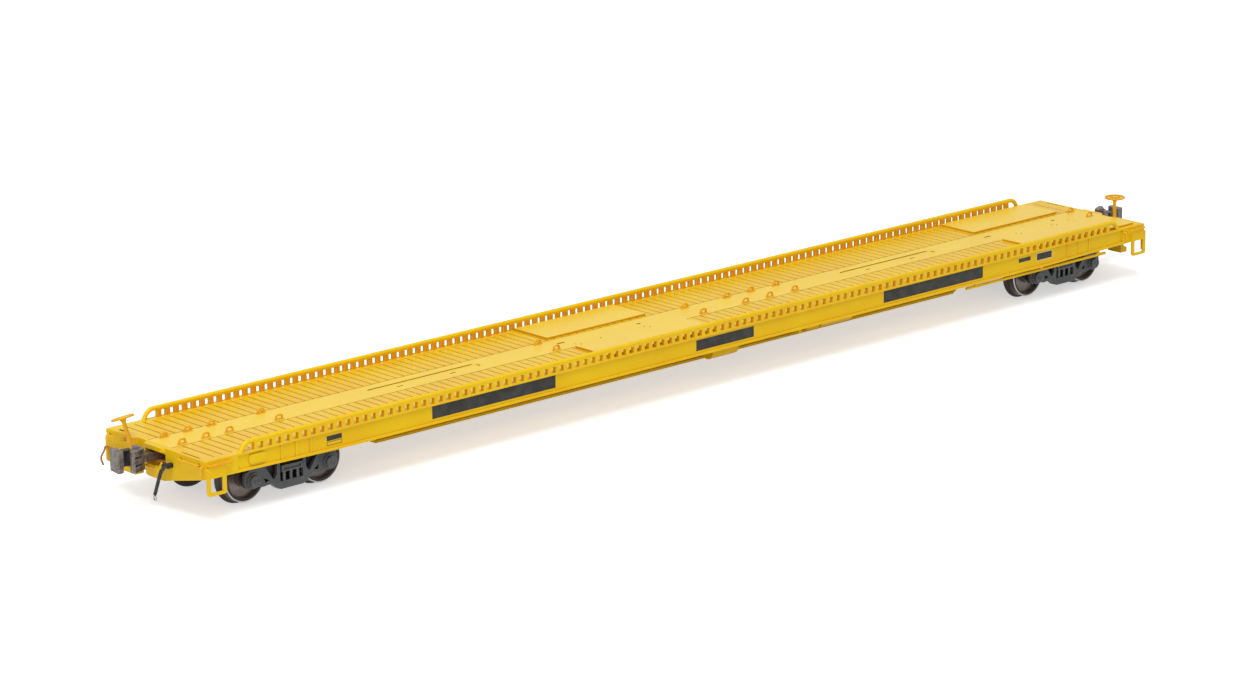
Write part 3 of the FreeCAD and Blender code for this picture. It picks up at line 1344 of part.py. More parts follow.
def make_brake_gear():
    y = GEAR_Y
    half = S["footHalf"]
    z = UNDER - S["tankDrop"]
    start, long = S["tankStart"], S["tankLong"]
    tank = cylinder("tank_shell", S["tankRadius"], (start, y, z), long, "x")
    strap = S["tankStrap"]
    straps = []
    for x in (start + long / 6, start + long * 5 / 6 - strap):
        straps.append(box("tank_strap", (x, x + strap), (y - half, y + half), (z, UNDER)))
    keep(fuse("tank_whole", [tank] + straps), "air_reservoir")
    first, low, thick = S["valveStart"], S["valveLow"], S["valveHalf"]
    roof = low + S["valveTall"]
    valve = box("valve_body", (first, first + S["valveLong"]), (y - thick, y + thick), (low, roof))
    last = first + S["valveLong"]
    hanger = box("valve_hanger", (first + half, last - half), (y - half, y + half), (roof, UNDER))
    keep(fuse("valve_whole", [valve, hanger]), "brake_valve")
    z = S["rodHeight"]
    first, long = S["drumStart"], S["drumLong"]
    drum = cylinder("drum_shell", S["drumRadius"], (first, y, z), long, "x")
    inset = S["footInset"]
    foot = box("drum_foot", (first + inset, first + long - inset), (y - half, y + half), (z, UNDER))
    rod = cylinder("drum_rod", S["rodRadius"], (first + long, y, z), S["rodLong"], "x")
    keep(fuse("drum_whole", [drum, foot, rod]), "brake_cylinder")
    make_rigging(y, z)


def make_rigging(y, z):
    """Long rod, its stay, and the lever across its end."""
    thick = S["rigLever"]
    start, long = S["rigStart"], S["rigLong"]
    stop = start + long
    half = S["rigHalf"]
    low, high = z - thick / 2, z + thick / 2
    lever = box("rig_lever", (stop - thick, stop), (y - half, y + half), (low, high))
    rod = cylinder("rig_rod", S["rodRadius"], (start, y, z), long, "x")
    post = box("rig_post", (stop - thick, stop), (y + half - thick, y + half), (low, UNDER))
    stay = box("rig_stay", (S["rigStay"], S["rigStay"] + thick), (y - thick / 2, y + thick / 2), (z, UNDER))
    keep(fuse("rig_whole", [lever, rod, post, stay]), "brake_rigging")


def build():
    make_deck()
    make_pads()
    make_side_sill(-1, "side_sill_near")
    make_side_sill(1, "side_sill_far")
    make_end_sill(-1, "end_sill_left")
    make_end_sill(1, "end_sill_right")
    make_guide_rail(-1, "guide_rail_near")
    make_guide_rail(1, "guide_rail_far")
    make_rings()
    make_centre_sill()
    make_bearers()
    make_body_bolsters()
    make_brake_gear()
    make_side_pipe()
    make_steps()
    make_brake_steps()
    make_grab_irons()
    for end, name in ((-1, "left"), (1, "right")):
        make_coupler_box(end, "coupler_box_" + name)
        make_screw(end, "swivel_screw_" + name)
        if end < 0:
            make_cut_lever(end, "cut_lever_" + name, S["leverEnd"], LEVER_HANDLE)
        else:
            make_cut_lever(end, "cut_lever_" + name, S["leverShort"], STRAIGHT_HANDLE)
        make_air_hose(end, "air_hose_" + name)
        make_hose_handle(end, "hose_handle_" + name)
        make_hose_loop(end, "hose_loop_" + name)
        for side, where in ((-1, "near"), (1, "far")):
            make_sideframe(end, side, "truck_" + name + "_frame_" + where)
        make_truck_bolster(end, "truck_" + name + "_bolster")
        make_springs(end, "truck_" + name + "_springs")
        make_brakes(end, "truck_" + name + "_brakes")
        for sign, where in ((-1, "outer" if end < 0 else "inner"), (1, "inner" if end < 0 else "outer")):
            make_wheels(end, sign, "wheels_" + name + "_" + where)
            make_axle(end, sign, "axle_" + name + "_" + where)
    around = math.radians(S["leanTurn"].value)
    axis = FreeCAD.Vector(math.cos(around), math.sin(around), 0)
    leaning = FreeCAD.Rotation(axis, -S["staffLean"].value)
    make_brake_staff(-1, "brake_staff_left", leaning)
    make_brake_staff(1, "brake_staff_right", FreeCAD.Rotation())
    make_coupler(-1, "coupler_left", -S["couplerTurn"].value)
    make_coupler(1, "coupler_right", 0)


def check_and_write():
    doc.recompute()
    faults = []
    for thing in doc.Objects:
        if "Invalid" in thing.State or "Error" in thing.State:
            faults.append(thing.Name + " " + str(thing.State))
    for thing in kept:
        shape = thing.Shape
        if shape.isNull() or not shape.isValid() or not shape.Solids:
            faults.append(thing.Label + " has no valid shape")
    if faults:
        raise RuntimeError("; ".join(faults))
    os.makedirs("parts", exist_ok=True)
    for thing in kept:
        thing.Shape.exportStep("parts/" + thing.Label + ".step")
        print(thing.Label, len(thing.Shape.Solids), round(thing.Shape.Volume, 3))


build()
check_and_write()
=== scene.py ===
import math

import bmesh
import bpy
from mathutils import Matrix, Vector


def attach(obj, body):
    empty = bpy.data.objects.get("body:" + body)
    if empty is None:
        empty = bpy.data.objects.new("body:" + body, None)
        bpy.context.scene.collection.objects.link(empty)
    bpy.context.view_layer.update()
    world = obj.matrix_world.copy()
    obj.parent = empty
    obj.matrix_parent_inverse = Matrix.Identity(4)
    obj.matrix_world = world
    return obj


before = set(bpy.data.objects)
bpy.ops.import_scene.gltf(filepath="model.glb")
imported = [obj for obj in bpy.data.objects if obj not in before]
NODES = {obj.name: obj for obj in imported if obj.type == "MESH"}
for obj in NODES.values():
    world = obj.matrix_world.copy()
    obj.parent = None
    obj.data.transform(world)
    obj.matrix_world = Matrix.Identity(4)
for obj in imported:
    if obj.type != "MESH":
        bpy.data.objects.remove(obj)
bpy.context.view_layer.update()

MM = 0.001

# Sizes from the part's source, in millimetres
HALF = 131.25
TOP = 12.7
STRIP = 3.9
SILL_WEB = 15.55
PLANK = 2.092
LAST_POST = 119.72
DISH_X = 65.4
DISH_HALF = 14.05
DISH_SIDE = 1.2
TRUCK_X = 108.7
AXLE_STEP = 9.15
AXLE_Z = 5.45
CAP_FACE = 13.5
FRAME_BACK = 11.65

# Where one tone turns into another, in millimetres: pairs of (none of it, all of it)
SOFT = 0.02
POST_HEIGHT = (TOP + 1.75, TOP + 1.3)
BELOW_DECK = (TOP - 0.03, TOP - 0.12)
WITHIN_PLATE = (TOP - 0.9, TOP - 0.8)
DISH_FLOOR = (TOP - 0.2, TOP - 0.17)
DEEP_HOLE = (TOP - 0.16, TOP - 0.22)
PAD_FACE = (TOP + 0.38, TOP + 0.43)
PAD_SIDE = (TOP + 0.42, TOP + 0.3)
SILL_OUTSIDE = (SILL_WEB - 0.25, SILL_WEB - 0.2)
WIRE_FOOT_RING = (0.42, 0.3)
BOX_INSIDE = (3.2, 2.9)
FRAME_POCKET = (FRAME_BACK + 0.25, FRAME_BACK)
SPRING_FRONT = (12.3, 12.52)
WHEEL_PLATE = (1.66, 1.74)
WHEEL_RIM = (3.92, 4.02)
WHEEL_EDGE = (4.50, 4.54)
WHEEL_OUTSIDE = (9.88, 9.94)
SHANK = (2.3, 1.9)
THROAT = (6.3, 6.0)

# Plain dark patches on the side sills: left, right, top and bottom below the deck
PANELS = (
    (-76.2, -44.3, 0.5, 3.1), (48.5, 79.1, 0.5, 3.1), (-6.0, 10.3, 0.8, 3.1),
    (-102.3, -98.6, 1.1, 2.1), (-102.3, -98.6, 2.25, 3.05),
    (90.5, 94.3, 1.0, 1.9), (96.3, 101.1, 0.9, 2.4),
)
PANEL_WINDOW = (-102.18, -98.72, 2.37, 2.93)
PANEL_BORDER = (96.14, 101.26, 0.74, 2.56)

# Feet of the grab irons and levers on the end sills, Y (turned with the end) and Z
WIRE_FEET = ((8.1, 11.7), (13.9, 11.7), (-9.8, 11.7), (-14.8, 11.7), (-4.6, 9.5))

# Small bolts on the deck's strip, X and Y
DECK_BOLTS = (
    (-27.2, -2.1), (-26.4, -3.0), (-20.4, -2.3), (-19.6, -3.3), (-8.2, -2.1), (-7.4, -3.0),
    (104.3, -1.8), (105.0, -2.7), (115.6, -2.1), (116.4, -2.9), (121.2, -2.0), (122.1, -3.1),
)
# Bolt profiles, radius and height above the face
DOME = ((0.2, -0.02), (0.2, 0.02), (0.15, 0.06), (0.07, 0.08))
HEX_HEAD = ((0.24, -0.02), (0.24, 0.05), (0.17, 0.05), (0.17, 0.13), (0.13, 0.17))
BOLT_CIRCLE = 0.78
BOLT_TURNS = (90, 210, 330)

# Studio, in metres and watts
FLOOR_HALF = 6.0
FLOOR_GLOW = 0.55
WORLD_LIGHT = 0.45
LIGHTS = (("key", (-0.35, -0.35, 1.1), 0.7, 9.6), ("fill", (-1.0, -0.9, 0.45), 0.8, 4.0))
WHITE = (1, 1, 1, 1)

# Camera fitted to the photograph
SENSOR = 36.0
LENS = 126.28
CAMERA_PLACE = (-0.591337, -0.650477, 0.248917)
CAMERA_TURN = (
    (0.744280, 0.188659, -0.640667),
    (-0.667702, 0.188875, -0.720069),
    (-0.014842, 0.963708, 0.266544),
)


def linear(red, green, blue):
    """Linear colour from 8-bit screen values."""
    result = []
    for value in (red, green, blue):
        share = value / 255
        result.append(share / 12.92 if share <= 0.04045 else ((share + 0.055) / 1.055) ** 2.4)
    return (*result, 1.0)


YELLOW = linear(230, 190, 8)
YELLOW_DEEP = linear(226, 180, 5)
YELLOW_PALE = linear(238, 208, 78)
EDGE_HIGHLIGHT = linear(246, 216, 84)
ORANGE = linear(224, 142, 12)
RAIL_INSIDE_SHADE = linear(206, 122, 10)
PAD_SIDE_SHADE = linear(196, 126, 8)
BOX_INSIDE_SHADE = linear(196, 112, 24)
# Painted shade in creases, and cloudy stains on the coupler boxes.
CREASE_SHADE_AND_STAIN = linear(168, 100, 10)
GROOVE_SHADE = linear(128, 76, 8)
HOLE_SHADE = linear(84, 44, 10)
RING_SHADE = linear(70, 44, 14)
PANEL = linear(50, 50, 47)
PANEL_WORN = linear(66, 66, 62)
BORDER = linear(214, 208, 170)
LEVER = linear(208, 132, 26)
LEVER_WORN = linear(150, 88, 30)
GREY = linear(70, 73, 75)
GREY_DUSTY = linear(84, 86, 88)
GREY_EDGE_HIGHLIGHT = linear(138, 140, 142)
SPRING = linear(128, 130, 133)
SPRING_DARK = linear(98, 99, 102)
POCKET_SHADE = linear(10, 11, 11)
PLATE = linear(112, 101, 95)
PLATE_DARK = linear(88, 78, 72)
PLATE_TURNED = linear(140, 132, 128)
HUB = linear(74, 72, 72)
HUB_PALE = linear(98, 94, 92)
RIM = linear(30, 28, 28)
RIM_PALE = linear(46, 42, 40)
RIM_EDGE_HIGHLIGHT = linear(206, 201, 196)
TREAD = linear(66, 54, 47)
TREAD_DARK = linear(44, 37, 33)
AXLE = linear(46, 42, 40)
AXLE_PALE = linear(72, 66, 62)
CAST = linear(128, 118, 112)
CAST_DARK = linear(74, 66, 62)
CAST_SPECK = linear(40, 35, 33)
CAST_EDGE = linear(190, 180, 172)
CAST_BROWN = linear(92, 66, 46)
THROAT_SHADE = linear(30, 25, 24)
CAST_CREASE_SHADE = linear(22, 18, 17)
RUBBER = linear(24, 24, 25)
RUBBER_DUSTY = linear(48, 48, 49)
PLATED = linear(176, 176, 178)
PLATED_DULL = linear(142, 142, 146)
FLOOR_TONES = ((0.80, 0.80, 0.80, 1), (0.83, 0.83, 0.83, 1))


class Nodes:
    """A material's node tree with short calls to fill it."""

    def __init__(self, name):
        self.material = bpy.data.materials.new(name)
        self.material.use_nodes = True
        self.tree = self.material.node_tree
        self.shader = self.tree.nodes["Principled BSDF"]
        coords = self.add("ShaderNodeTexCoord").outputs["Object"]
        grown = self.add("ShaderNodeVectorMath", {0: coords, 3: 1 / MM}, operation="SCALE")
        self.coords = grown.outputs[0]
        self.x, self.y, self.z = self.add("ShaderNodeSeparateXYZ", {0: self.coords}).outputs

    def add(self, kind, inputs=None, **settings):
        node = self.tree.nodes.new(kind)
        for key, value in settings.items():
            setattr(node, key, value)
        for key, value in (inputs or {}).items():
            self.put(value, node.inputs[key])
        return node

    def put(self, value, socket):
        if isinstance(value, bpy.types.NodeSocket):
            self.tree.links.new(value, socket)
        else:
            socket.default_value = value

    def math(self, operation, a, b=0.0, clamp=False):
        node = self.add("ShaderNodeMath", {0: a, 1: b}, operation=operation)
        node.use_clamp = clamp
        return node.outputs[0]

    def size(self, value):
        return self.math("ABSOLUTE", value)

    def less(self, value, other):
        return self.math("SUBTRACT", value, other)

    def sum(self, first, second):
        return self.math("ADD", first, second)

    def both(self, first, *others):
        """Product of masks and strengths."""
        for other in others:
            first = self.math("MULTIPLY", first, other)
        return first

    def either(self, first, *others):
        for other in others:
            first = self.math("MAXIMUM", first, other)
        return first

    def distance(self, a, b):
        """Length of the two offsets together."""
        return self.math("SQRT", self.sum(self.both(a, a), self.both(b, b)))

    def noise(self, scale, detail=3.0, stretch=(1, 1, 1)):
        """Noise over millimetres; the scale is in features per millimetre."""
        mapping = self.add("ShaderNodeMapping", {"Vector": self.coords, "Scale": stretch})
        inputs = {"Vector": mapping.outputs[0], "Scale": scale, "Detail": detail}
        return self.add("ShaderNodeTexNoise", inputs).outputs["Fac"]

    def spots(self, scale, low, high):
        """1 in small round cells, for specks and pits."""
        node = self.add("ShaderNodeTexVoronoi", {"Vector": self.coords, "Scale": scale})
        return self.ramp(node.outputs["Distance"], high, low)

    def ramp(self, value, low, high, start=0.0, end=1.0):
        """Start below low, end above high."""
        node = self.add("ShaderNodeMapRange", {0: value, 1: low, 2: high, 3: start, 4: end})
        return node.outputs[0]

    def cloud(self, scale, detail=4.0, low=0.35, high=0.65):
        """Soft patches of noise between 0 and 1."""
        return self.ramp(self.noise(scale, detail), low, high)

    def within(self, value, low, high):
        """1 where the value lies between low and high."""
        rise = self.ramp(value, low - SOFT, low + SOFT)
        fall = self.ramp(value, high - SOFT, high + SOFT)
        return self.math("SUBTRACT", rise, fall, clamp=True)

    def mix(self, share, a, b):
        node = self.add("ShaderNodeMix", data_type="RGBA")
        self.put(share, node.inputs["Factor"])
        self.put(a, node.inputs["A"])
        self.put(b, node.inputs["B"])
        return node.outputs["Result"]

    def crease(self, reach):
        """Painted shade from ambient occlusion: 1 deep in the piece's own corners, 0 on its
        open faces.
        """
        inputs = {"Distance": reach * MM}
        node = self.add("ShaderNodeAmbientOcclusion", inputs, samples=4, only_local=True)
        return self.ramp(node.outputs["AO"], 0.75, 0.25)

    def edge(self, radius):
        """1 along the piece's edges."""
        bevel = self.add("ShaderNodeBevel", {"Radius": radius * MM}, samples=4).outputs[0]
        flat = self.add("ShaderNodeNewGeometry").outputs["True Normal"]
        same = self.add("ShaderNodeVectorMath", {0: bevel, 1: flat}, operation="DOT_PRODUCT")
        return self.ramp(same.outputs["Value"], 0.98, 0.86)

    def paint(self, colour):
        self.put(colour, self.shader.inputs["Base Color"])

    def metal(self, share):
        self.shader.inputs["Metallic"].default_value = share

    def gloss(self, low, high, specular, scale=0.6):
        """Uneven roughness between low and high, and the level of the reflections."""
        rough = self.ramp(self.noise(scale, 3.0), 0.3, 0.7, low, high)
        self.put(rough, self.shader.inputs["Roughness"])
        self.shader.inputs["Specular IOR Level"].default_value = specular

    def bump(self, height, distance, strength=0.6):
        inputs = {"Height": height, "Distance": distance * MM, "Strength": strength}
        node = self.add("ShaderNodeBump", inputs)
        self.put(node.outputs[0], self.shader.inputs["Normal"])


def yellow_base(n):
    """Sprayed yellow: cloudy tone, fine pigment and a painted highlight along the edges."""
    colour = n.mix(n.cloud(0.09), YELLOW, YELLOW_DEEP)
    colour = n.mix(n.both(n.cloud(7.0, 2.0, 0.55, 0.75), 0.10), colour, YELLOW_PALE)
    # Paler along the edges: a painted highlight.
    return n.mix(n.both(n.edge(0.09), 0.6), colour, EDGE_HIGHLIGHT)


def creased_yellow(n, reach, strength):
    """The sprayed yellow with painted orange-brown shade in its creases."""
    return n.mix(n.both(n.crease(reach), strength), yellow_base(n), CREASE_SHADE_AND_STAIN)


def yellow_skin(n, low, high, specular):
    """Orange-peel surface with dust grains in the paint."""
    n.gloss(low, high, specular)
    peel = n.noise(2.6, 3.0)
    n.bump(n.sum(peel, n.both(n.noise(14.0, 2.0), 0.35)), 0.012, 0.5)


def body_yellow():
    """Paint of the plain yellow pieces, with painted shade in their creases."""
    n = Nodes("body_yellow")
    n.paint(creased_yellow(n, 0.7, 0.6))
    yellow_skin(n, 0.36, 0.52, 0.15)
    return n.material


def rail_yellow():
    """Guide rails: yellow outside, with painted orange shade on the posts' sides, deeper on
    their inner faces, and in creases.
    """
    n = Nodes("rail_yellow")
    facing = n.add("ShaderNodeNewGeometry").outputs["True Normal"]
    normal = n.add("ShaderNodeSeparateXYZ", {0: facing}).outputs
    between = n.ramp(n.size(normal[0]), 0.6, 0.8)
    inner = n.ramp(n.both(normal[1], n.math("SIGN", n.y)), -0.6, -0.8)
    before_foot = n.ramp(n.size(n.x), LAST_POST + 0.03, LAST_POST)
    posts = n.both(n.ramp(n.z, *POST_HEIGHT), before_foot)
    # Painted shade: orange on the sides of the posts.
    colour = n.mix(n.both(posts, between, 0.5), yellow_base(n), ORANGE)
    # Painted shade: deeper orange on the inner faces of the posts.
    colour = n.mix(n.both(posts, inner, 0.7), colour, RAIL_INSIDE_SHADE)
    # Painted shade in the creases.
    n.paint(n.mix(n.both(n.crease(0.6), 0.15), colour, CREASE_SHADE_AND_STAIN))
    yellow_skin(n, 0.34, 0.5, 0.2)
    return n.material


def wire_yellow():
    """Rings, staffs and irons of thin wire under thick paint, with painted shade in their
    creases.
    """
    n = Nodes("wire_yellow")
    tone = n.both(n.cloud(0.8, 3.0, 0.35, 0.7), 0.5)
    colour = n.mix(n.sum(tone, 0.25), yellow_base(n), ORANGE)
    # Painted shade in the creases.
    n.paint(n.mix(n.both(n.crease(0.4), 0.6), colour, CREASE_SHADE_AND_STAIN))
    yellow_skin(n, 0.34, 0.5, 0.2)
    return n.material


def lever_brown():
    """Cut levers: orange-brown paint, worn darker in patches."""
    n = Nodes("lever_brown")
    n.paint(n.mix(n.cloud(0.7, 4.0, 0.4, 0.62), LEVER, LEVER_WORN))
    yellow_skin(n, 0.4, 0.6, 0.3)
    return n.material


def deck_yellow():
    """Planks that differ slightly, a paler smooth strip that is partly a painted sheen, and
    painted shade in the grooves and holes.
    """
    n = Nodes("deck_yellow")
    number = n.math("FLOOR", n.math("DIVIDE", n.sum(n.x, HALF), PLANK))
    seed = n.sum(number, n.both(n.math("SIGN", n.y), 200.0))
    white_noise = n.add("ShaderNodeTexWhiteNoise", {"W": seed}, noise_dimensions="1D")
    across = n.size(n.y)
    strip = n.ramp(across, STRIP + SOFT, STRIP - SOFT)
    planks = n.less(1.0, strip)
    grain = n.ramp(n.noise(1.4, 4.0, (0.12, 1, 1)), 0.45, 0.7)
    colour = n.mix(n.both(white_noise.outputs["Value"], planks, 0.12), yellow_base(n), ORANGE)
    colour = n.mix(n.both(grain, planks, 0.12), colour, YELLOW_PALE)
    # Paler strip: partly a paler paint, partly a painted sheen.
    colour = n.mix(n.both(strip, 0.5), colour, YELLOW_PALE)
    sunk = n.ramp(n.z, *BELOW_DECK)
    plate = n.ramp(n.z, *WITHIN_PLATE)
    from_dish = n.size(n.less(n.size(n.x), DISH_X))
    along_dish = n.ramp(from_dish, DISH_HALF, DISH_HALF - SOFT)
    across_dish = n.ramp(across, DISH_SIDE, DISH_SIDE - SOFT)
    floor = n.both(along_dish, across_dish, n.ramp(n.z, *DISH_FLOOR))
    # Painted shade in the grooves, kept off the dish floors.
    colour = n.mix(n.both(sunk, plate, n.less(1.0, floor)), colour, GROOVE_SHADE)
    # Painted shade, darker, in the deep holes.
    n.paint(n.mix(n.both(n.ramp(n.z, *DEEP_HOLE), plate), colour, HOLE_SHADE))
    yellow_skin(n, 0.34, 0.46, 0.25)
    return n.material


def pad_yellow():
    """Raised wheel pads: smooth, with a painted highlight on top and painted shade on the
    sides.
    """
    n = Nodes("pad_yellow")
    # Painted highlight: paler on the top face.
    colour = n.mix(n.both(n.ramp(n.z, *PAD_FACE), 0.45), yellow_base(n), YELLOW_PALE)
    # Painted shade: darker on the sides.
    n.paint(n.mix(n.both(n.ramp(n.z, *PAD_SIDE), 0.75), colour, PAD_SIDE_SHADE))
    yellow_skin(n, 0.32, 0.44, 0.25)
    return n.material


def sill_yellow(name, side):
    """Side sill paint with plain dark panels and small plain boxes."""
    n = Nodes(name)
    outward = n.ramp(n.both(n.y, side), *SILL_OUTSIDE)
    along = n.both(n.x, -side)

    def patch(left, right, high, low):
        return n.both(n.within(along, left, right), n.within(n.z, TOP - low, TOP - high))

    dark = n.either(*[patch(*place) for place in PANELS])
    # Painted shade in the creases.
    colour = creased_yellow(n, 0.7, 0.6)
    skin = n.mix(n.both(patch(*PANEL_BORDER), outward, 0.75), colour, BORDER)
    panel = n.mix(n.cloud(0.5, 5.0, 0.4, 0.7), PANEL, PANEL_WORN)
    skin = n.mix(n.both(dark, outward), skin, panel)
    n.paint(n.mix(n.both(patch(*PANEL_WINDOW), outward), skin, colour))
    yellow_skin(n, 0.36, 0.52, 0.15)
    return n.material


def end_yellow():
    """End sill paint with painted shade in rings where the grab irons and levers enter."""
    n = Nodes("end_yellow")
    across = n.both(n.y, n.math("SIGN", n.x))
    rings = []
    for place, height in WIRE_FEET:
        far = n.distance(n.less(across, place), n.less(n.z, height))
        rings.append(n.ramp(far, *WIRE_FOOT_RING))
    # Painted shade round the wire feet and in the creases.
    n.paint(n.mix(n.both(n.either(*rings), 0.8), creased_yellow(n, 0.8, 0.65), RING_SHADE))
    yellow_skin(n, 0.36, 0.52, 0.15)
    return n.material


def box_yellow():
    """Coupler boxes: painted orange-brown shade inside, yellow outside."""
    n = Nodes("box_yellow")
    inside = n.ramp(n.size(n.y), *BOX_INSIDE)
    # Painted shade inside the box.
    colour = n.mix(n.both(inside, 0.7), yellow_base(n), BOX_INSIDE_SHADE)
    n.paint(n.mix(n.both(n.cloud(0.6, 4.0, 0.45, 0.65), 0.35), colour, CREASE_SHADE_AND_STAIN))
    yellow_skin(n, 0.4, 0.58, 0.2)
    return n.material


def cast_grey(name, pocket):
    """Moulded grey like fine cast steel: sandy skin, painted highlights on the edges, painted
    shade in creases and pockets.
    """
    n = Nodes(name)
    colour = n.mix(n.cloud(0.35, 4.0, 0.38, 0.65), GREY, GREY_DUSTY)
    # Painted highlight along the edges.
    colour = n.mix(n.both(n.edge(0.16), 0.75), colour, GREY_EDGE_HIGHLIGHT)
    # Painted shade in the creases, and in the frames' pockets.
    deep = n.both(n.crease(0.8), 0.8)
    if pocket:
        deep = n.either(deep, n.ramp(n.size(n.y), *FRAME_POCKET))
    n.paint(n.mix(deep, colour, POCKET_SHADE))
    n.gloss(0.42, 0.6, 0.3)
    n.bump(n.sum(n.noise(5.0, 3.0), n.both(n.noise(18.0, 2.0), 0.5)), 0.02, 0.7)
    return n.material


def spring_grey():
    """Coils: grey on their faces, with painted black shade between them."""
    n = Nodes("spring_grey")
    front = n.ramp(n.size(n.y), *SPRING_FRONT)
    # Painted shade: black away from the coils' front faces.
    n.paint(n.mix(front, POCKET_SHADE, n.mix(n.cloud(1.2, 3.0), SPRING, SPRING_DARK)))
    n.gloss(0.35, 0.5, 0.4, 1.5)
    n.bump(n.noise(9.0, 2.0), 0.01)
    return n.material


def wheel_radius(n):
    """Distance from the nearest axle, in millimetres."""
    from_truck = n.size(n.less(n.size(n.x), TRUCK_X))
    return n.distance(n.less(from_truck, AXLE_STEP), n.less(n.z, AXLE_Z))


def wheel_metal():
    """Turned wheels: brownish plate, black rim, a painted highlight as a bright line at its
    edge, browned tread.
    """
    n = Nodes("wheel_metal")
    radius = wheel_radius(n)
    turned = n.math("SINE", n.both(radius, 26.0))
    cloud = n.cloud(0.5)
    plate = n.mix(cloud, PLATE, PLATE_DARK)
    plate = n.mix(n.ramp(turned, -1.0, 1.0, 0.0, 0.35), plate, PLATE_TURNED)
    hub = n.mix(cloud, HUB, HUB_PALE)
    rim = n.mix(cloud, RIM, RIM_PALE)
    tread = n.mix(cloud, TREAD, TREAD_DARK)
    # Painted highlight: a bright line where the tread meets the outer face.
    edge = n.mix(n.ramp(n.size(n.y), *WHEEL_OUTSIDE), tread, RIM_EDGE_HIGHLIGHT)
    colour = n.mix(n.ramp(radius, *WHEEL_PLATE), hub, plate)
    colour = n.mix(n.ramp(radius, *WHEEL_RIM), colour, rim)
    n.paint(n.mix(n.ramp(radius, *WHEEL_EDGE), colour, edge))
    n.metal(0.55)
    n.gloss(0.26, 0.42, 0.5, 1.2)
    n.bump(n.sum(n.both(turned, 0.3), n.noise(6.0, 3.0)), 0.01, 0.5)
    return n.material


def axle_metal():
    """Axles: dark blackened steel with turning marks."""
    n = Nodes("axle_metal")
    marks = n.noise(3.0, 2.0, (0.1, 4.0, 0.1))
    n.paint(n.mix(n.ramp(marks, 0.4, 0.6), AXLE, AXLE_PALE))
    n.metal(0.5)
    n.gloss(0.3, 0.45, 0.5)
    n.bump(marks, 0.01, 0.5)
    return n.material


def coupler_metal(name, throat):
    """Sandy cast couplers: grey-brown, specked, browner near the box, with painted shade in the
    throat and in creases.
    """
    n = Nodes(name)
    specks = n.both(n.spots(5.0, 0.18, 0.34), n.cloud(2.0, 2.0, 0.45, 0.6))
    beyond_end = n.less(n.size(n.x), HALF)
    colour = n.mix(n.cloud(0.9), CAST, CAST_DARK)
    colour = n.mix(n.both(specks, 0.7), colour, CAST_SPECK)
    colour = n.mix(n.both(n.edge(0.12), 0.7), colour, CAST_EDGE)
    colour = n.mix(n.both(n.ramp(beyond_end, *SHANK), 0.8), colour, CAST_BROWN)
    if throat:
        # Painted shade in the throat between knuckle and arm.
        colour = n.mix(n.both(n.ramp(beyond_end, *THROAT), 0.8), colour, THROAT_SHADE)
    # Painted shade in the creases.
    n.paint(n.mix(n.both(n.crease(0.7), 0.9), colour, CAST_CREASE_SHADE))
    n.metal(0.35)
    n.gloss(0.38, 0.55, 0.5, 1.5)
    n.bump(n.sum(n.noise(5.0, 3.0), n.both(specks, -0.8)), 0.03, 0.7)
    return n.material


def hose_black():
    """Rubber hose: wrapped rings along its length and a dusty bloom."""
    n = Nodes("hose_black")
    wrap = n.math("SINE", n.both(n.z, 14.0))
    n.paint(n.mix(n.cloud(1.1, 4.0, 0.4, 0.7), RUBBER, RUBBER_DUSTY))
    n.gloss(0.42, 0.6, 0.4, 1.5)
    n.bump(n.sum(n.both(wrap, 0.4), n.noise(8.0, 2.0)), 0.02, 0.6)
    return n.material


def bright_metal():
    """Plated screws and loops with fine scratches."""
    n = Nodes("bright_metal")
    scratches = n.noise(9.0, 2.0, (1, 0.08, 1))
    n.paint(n.mix(n.ramp(scratches, 0.4, 0.65), PLATED, PLATED_DULL))
    n.metal(0.9)
    n.gloss(0.2, 0.34, 0.5, 1.5)
    n.bump(scratches, 0.008, 0.5)
    return n.material


MATERIALS = {
    "yellow": body_yellow(),
    "rail": rail_yellow(),
    "wire": wire_yellow(),
    "lever": lever_brown(),
    "deck": deck_yellow(),
    "pad": pad_yellow(),
    "near": sill_yellow("sill_near", -1),
    "far": sill_yellow("sill_far", 1),
    "end": end_yellow(),
    "box": box_yellow(),
    "frame": cast_grey("frame_grey", True),
    "truck": cast_grey("truck_grey", False),
    "spring": spring_grey(),
    "wheel": wheel_metal(),
    "axle": axle_metal(),
    "coupler": coupler_metal("coupler_metal", False),
    "knuckle": coupler_metal("knuckle_metal", True),
    "hose": hose_black(),
    "bright": bright_metal(),
}

# Start of a node's name, and its material; the first that fits counts
KINDS = (
    ("deck_wheel_pads", "pad"), ("deck", "deck"),
    ("side_sill_near", "near"), ("side_sill_far", "far"), ("end_sill_", "end"),
    ("guide_rail_", "rail"), ("tie_down_rings", "wire"), ("grab_irons", "wire"),
    ("brake_staff_", "wire"), ("cut_lever_", "lever"), ("coupler_box_", "box"),
    ("swivel_screw_", "bright"), ("hose_loop_", "bright"), ("air_hose_", "hose"),
    ("coupler_left_knuckle", "knuckle"), ("coupler_right_knuckle", "knuckle"),
    ("coupler_", "coupler"), ("wheels_", "wheel"), ("axle_", "axle"),
)


def kind_of(node):
    for start, kind in KINDS:
        if node.startswith(start):
            return kind
    if node.startswith("truck_"):
        if "_frame_" in node:
            return "frame"
        return "spring" if node.endswith("_springs") else "truck"
    return "yellow"


def dress_nodes():
    for name, thing in NODES.items():
        material = MATERIALS[kind_of(name)]
        if not thing.material_slots:
            thing.data.materials.append(material)
        for place in thing.material_slots:
            place.material = material


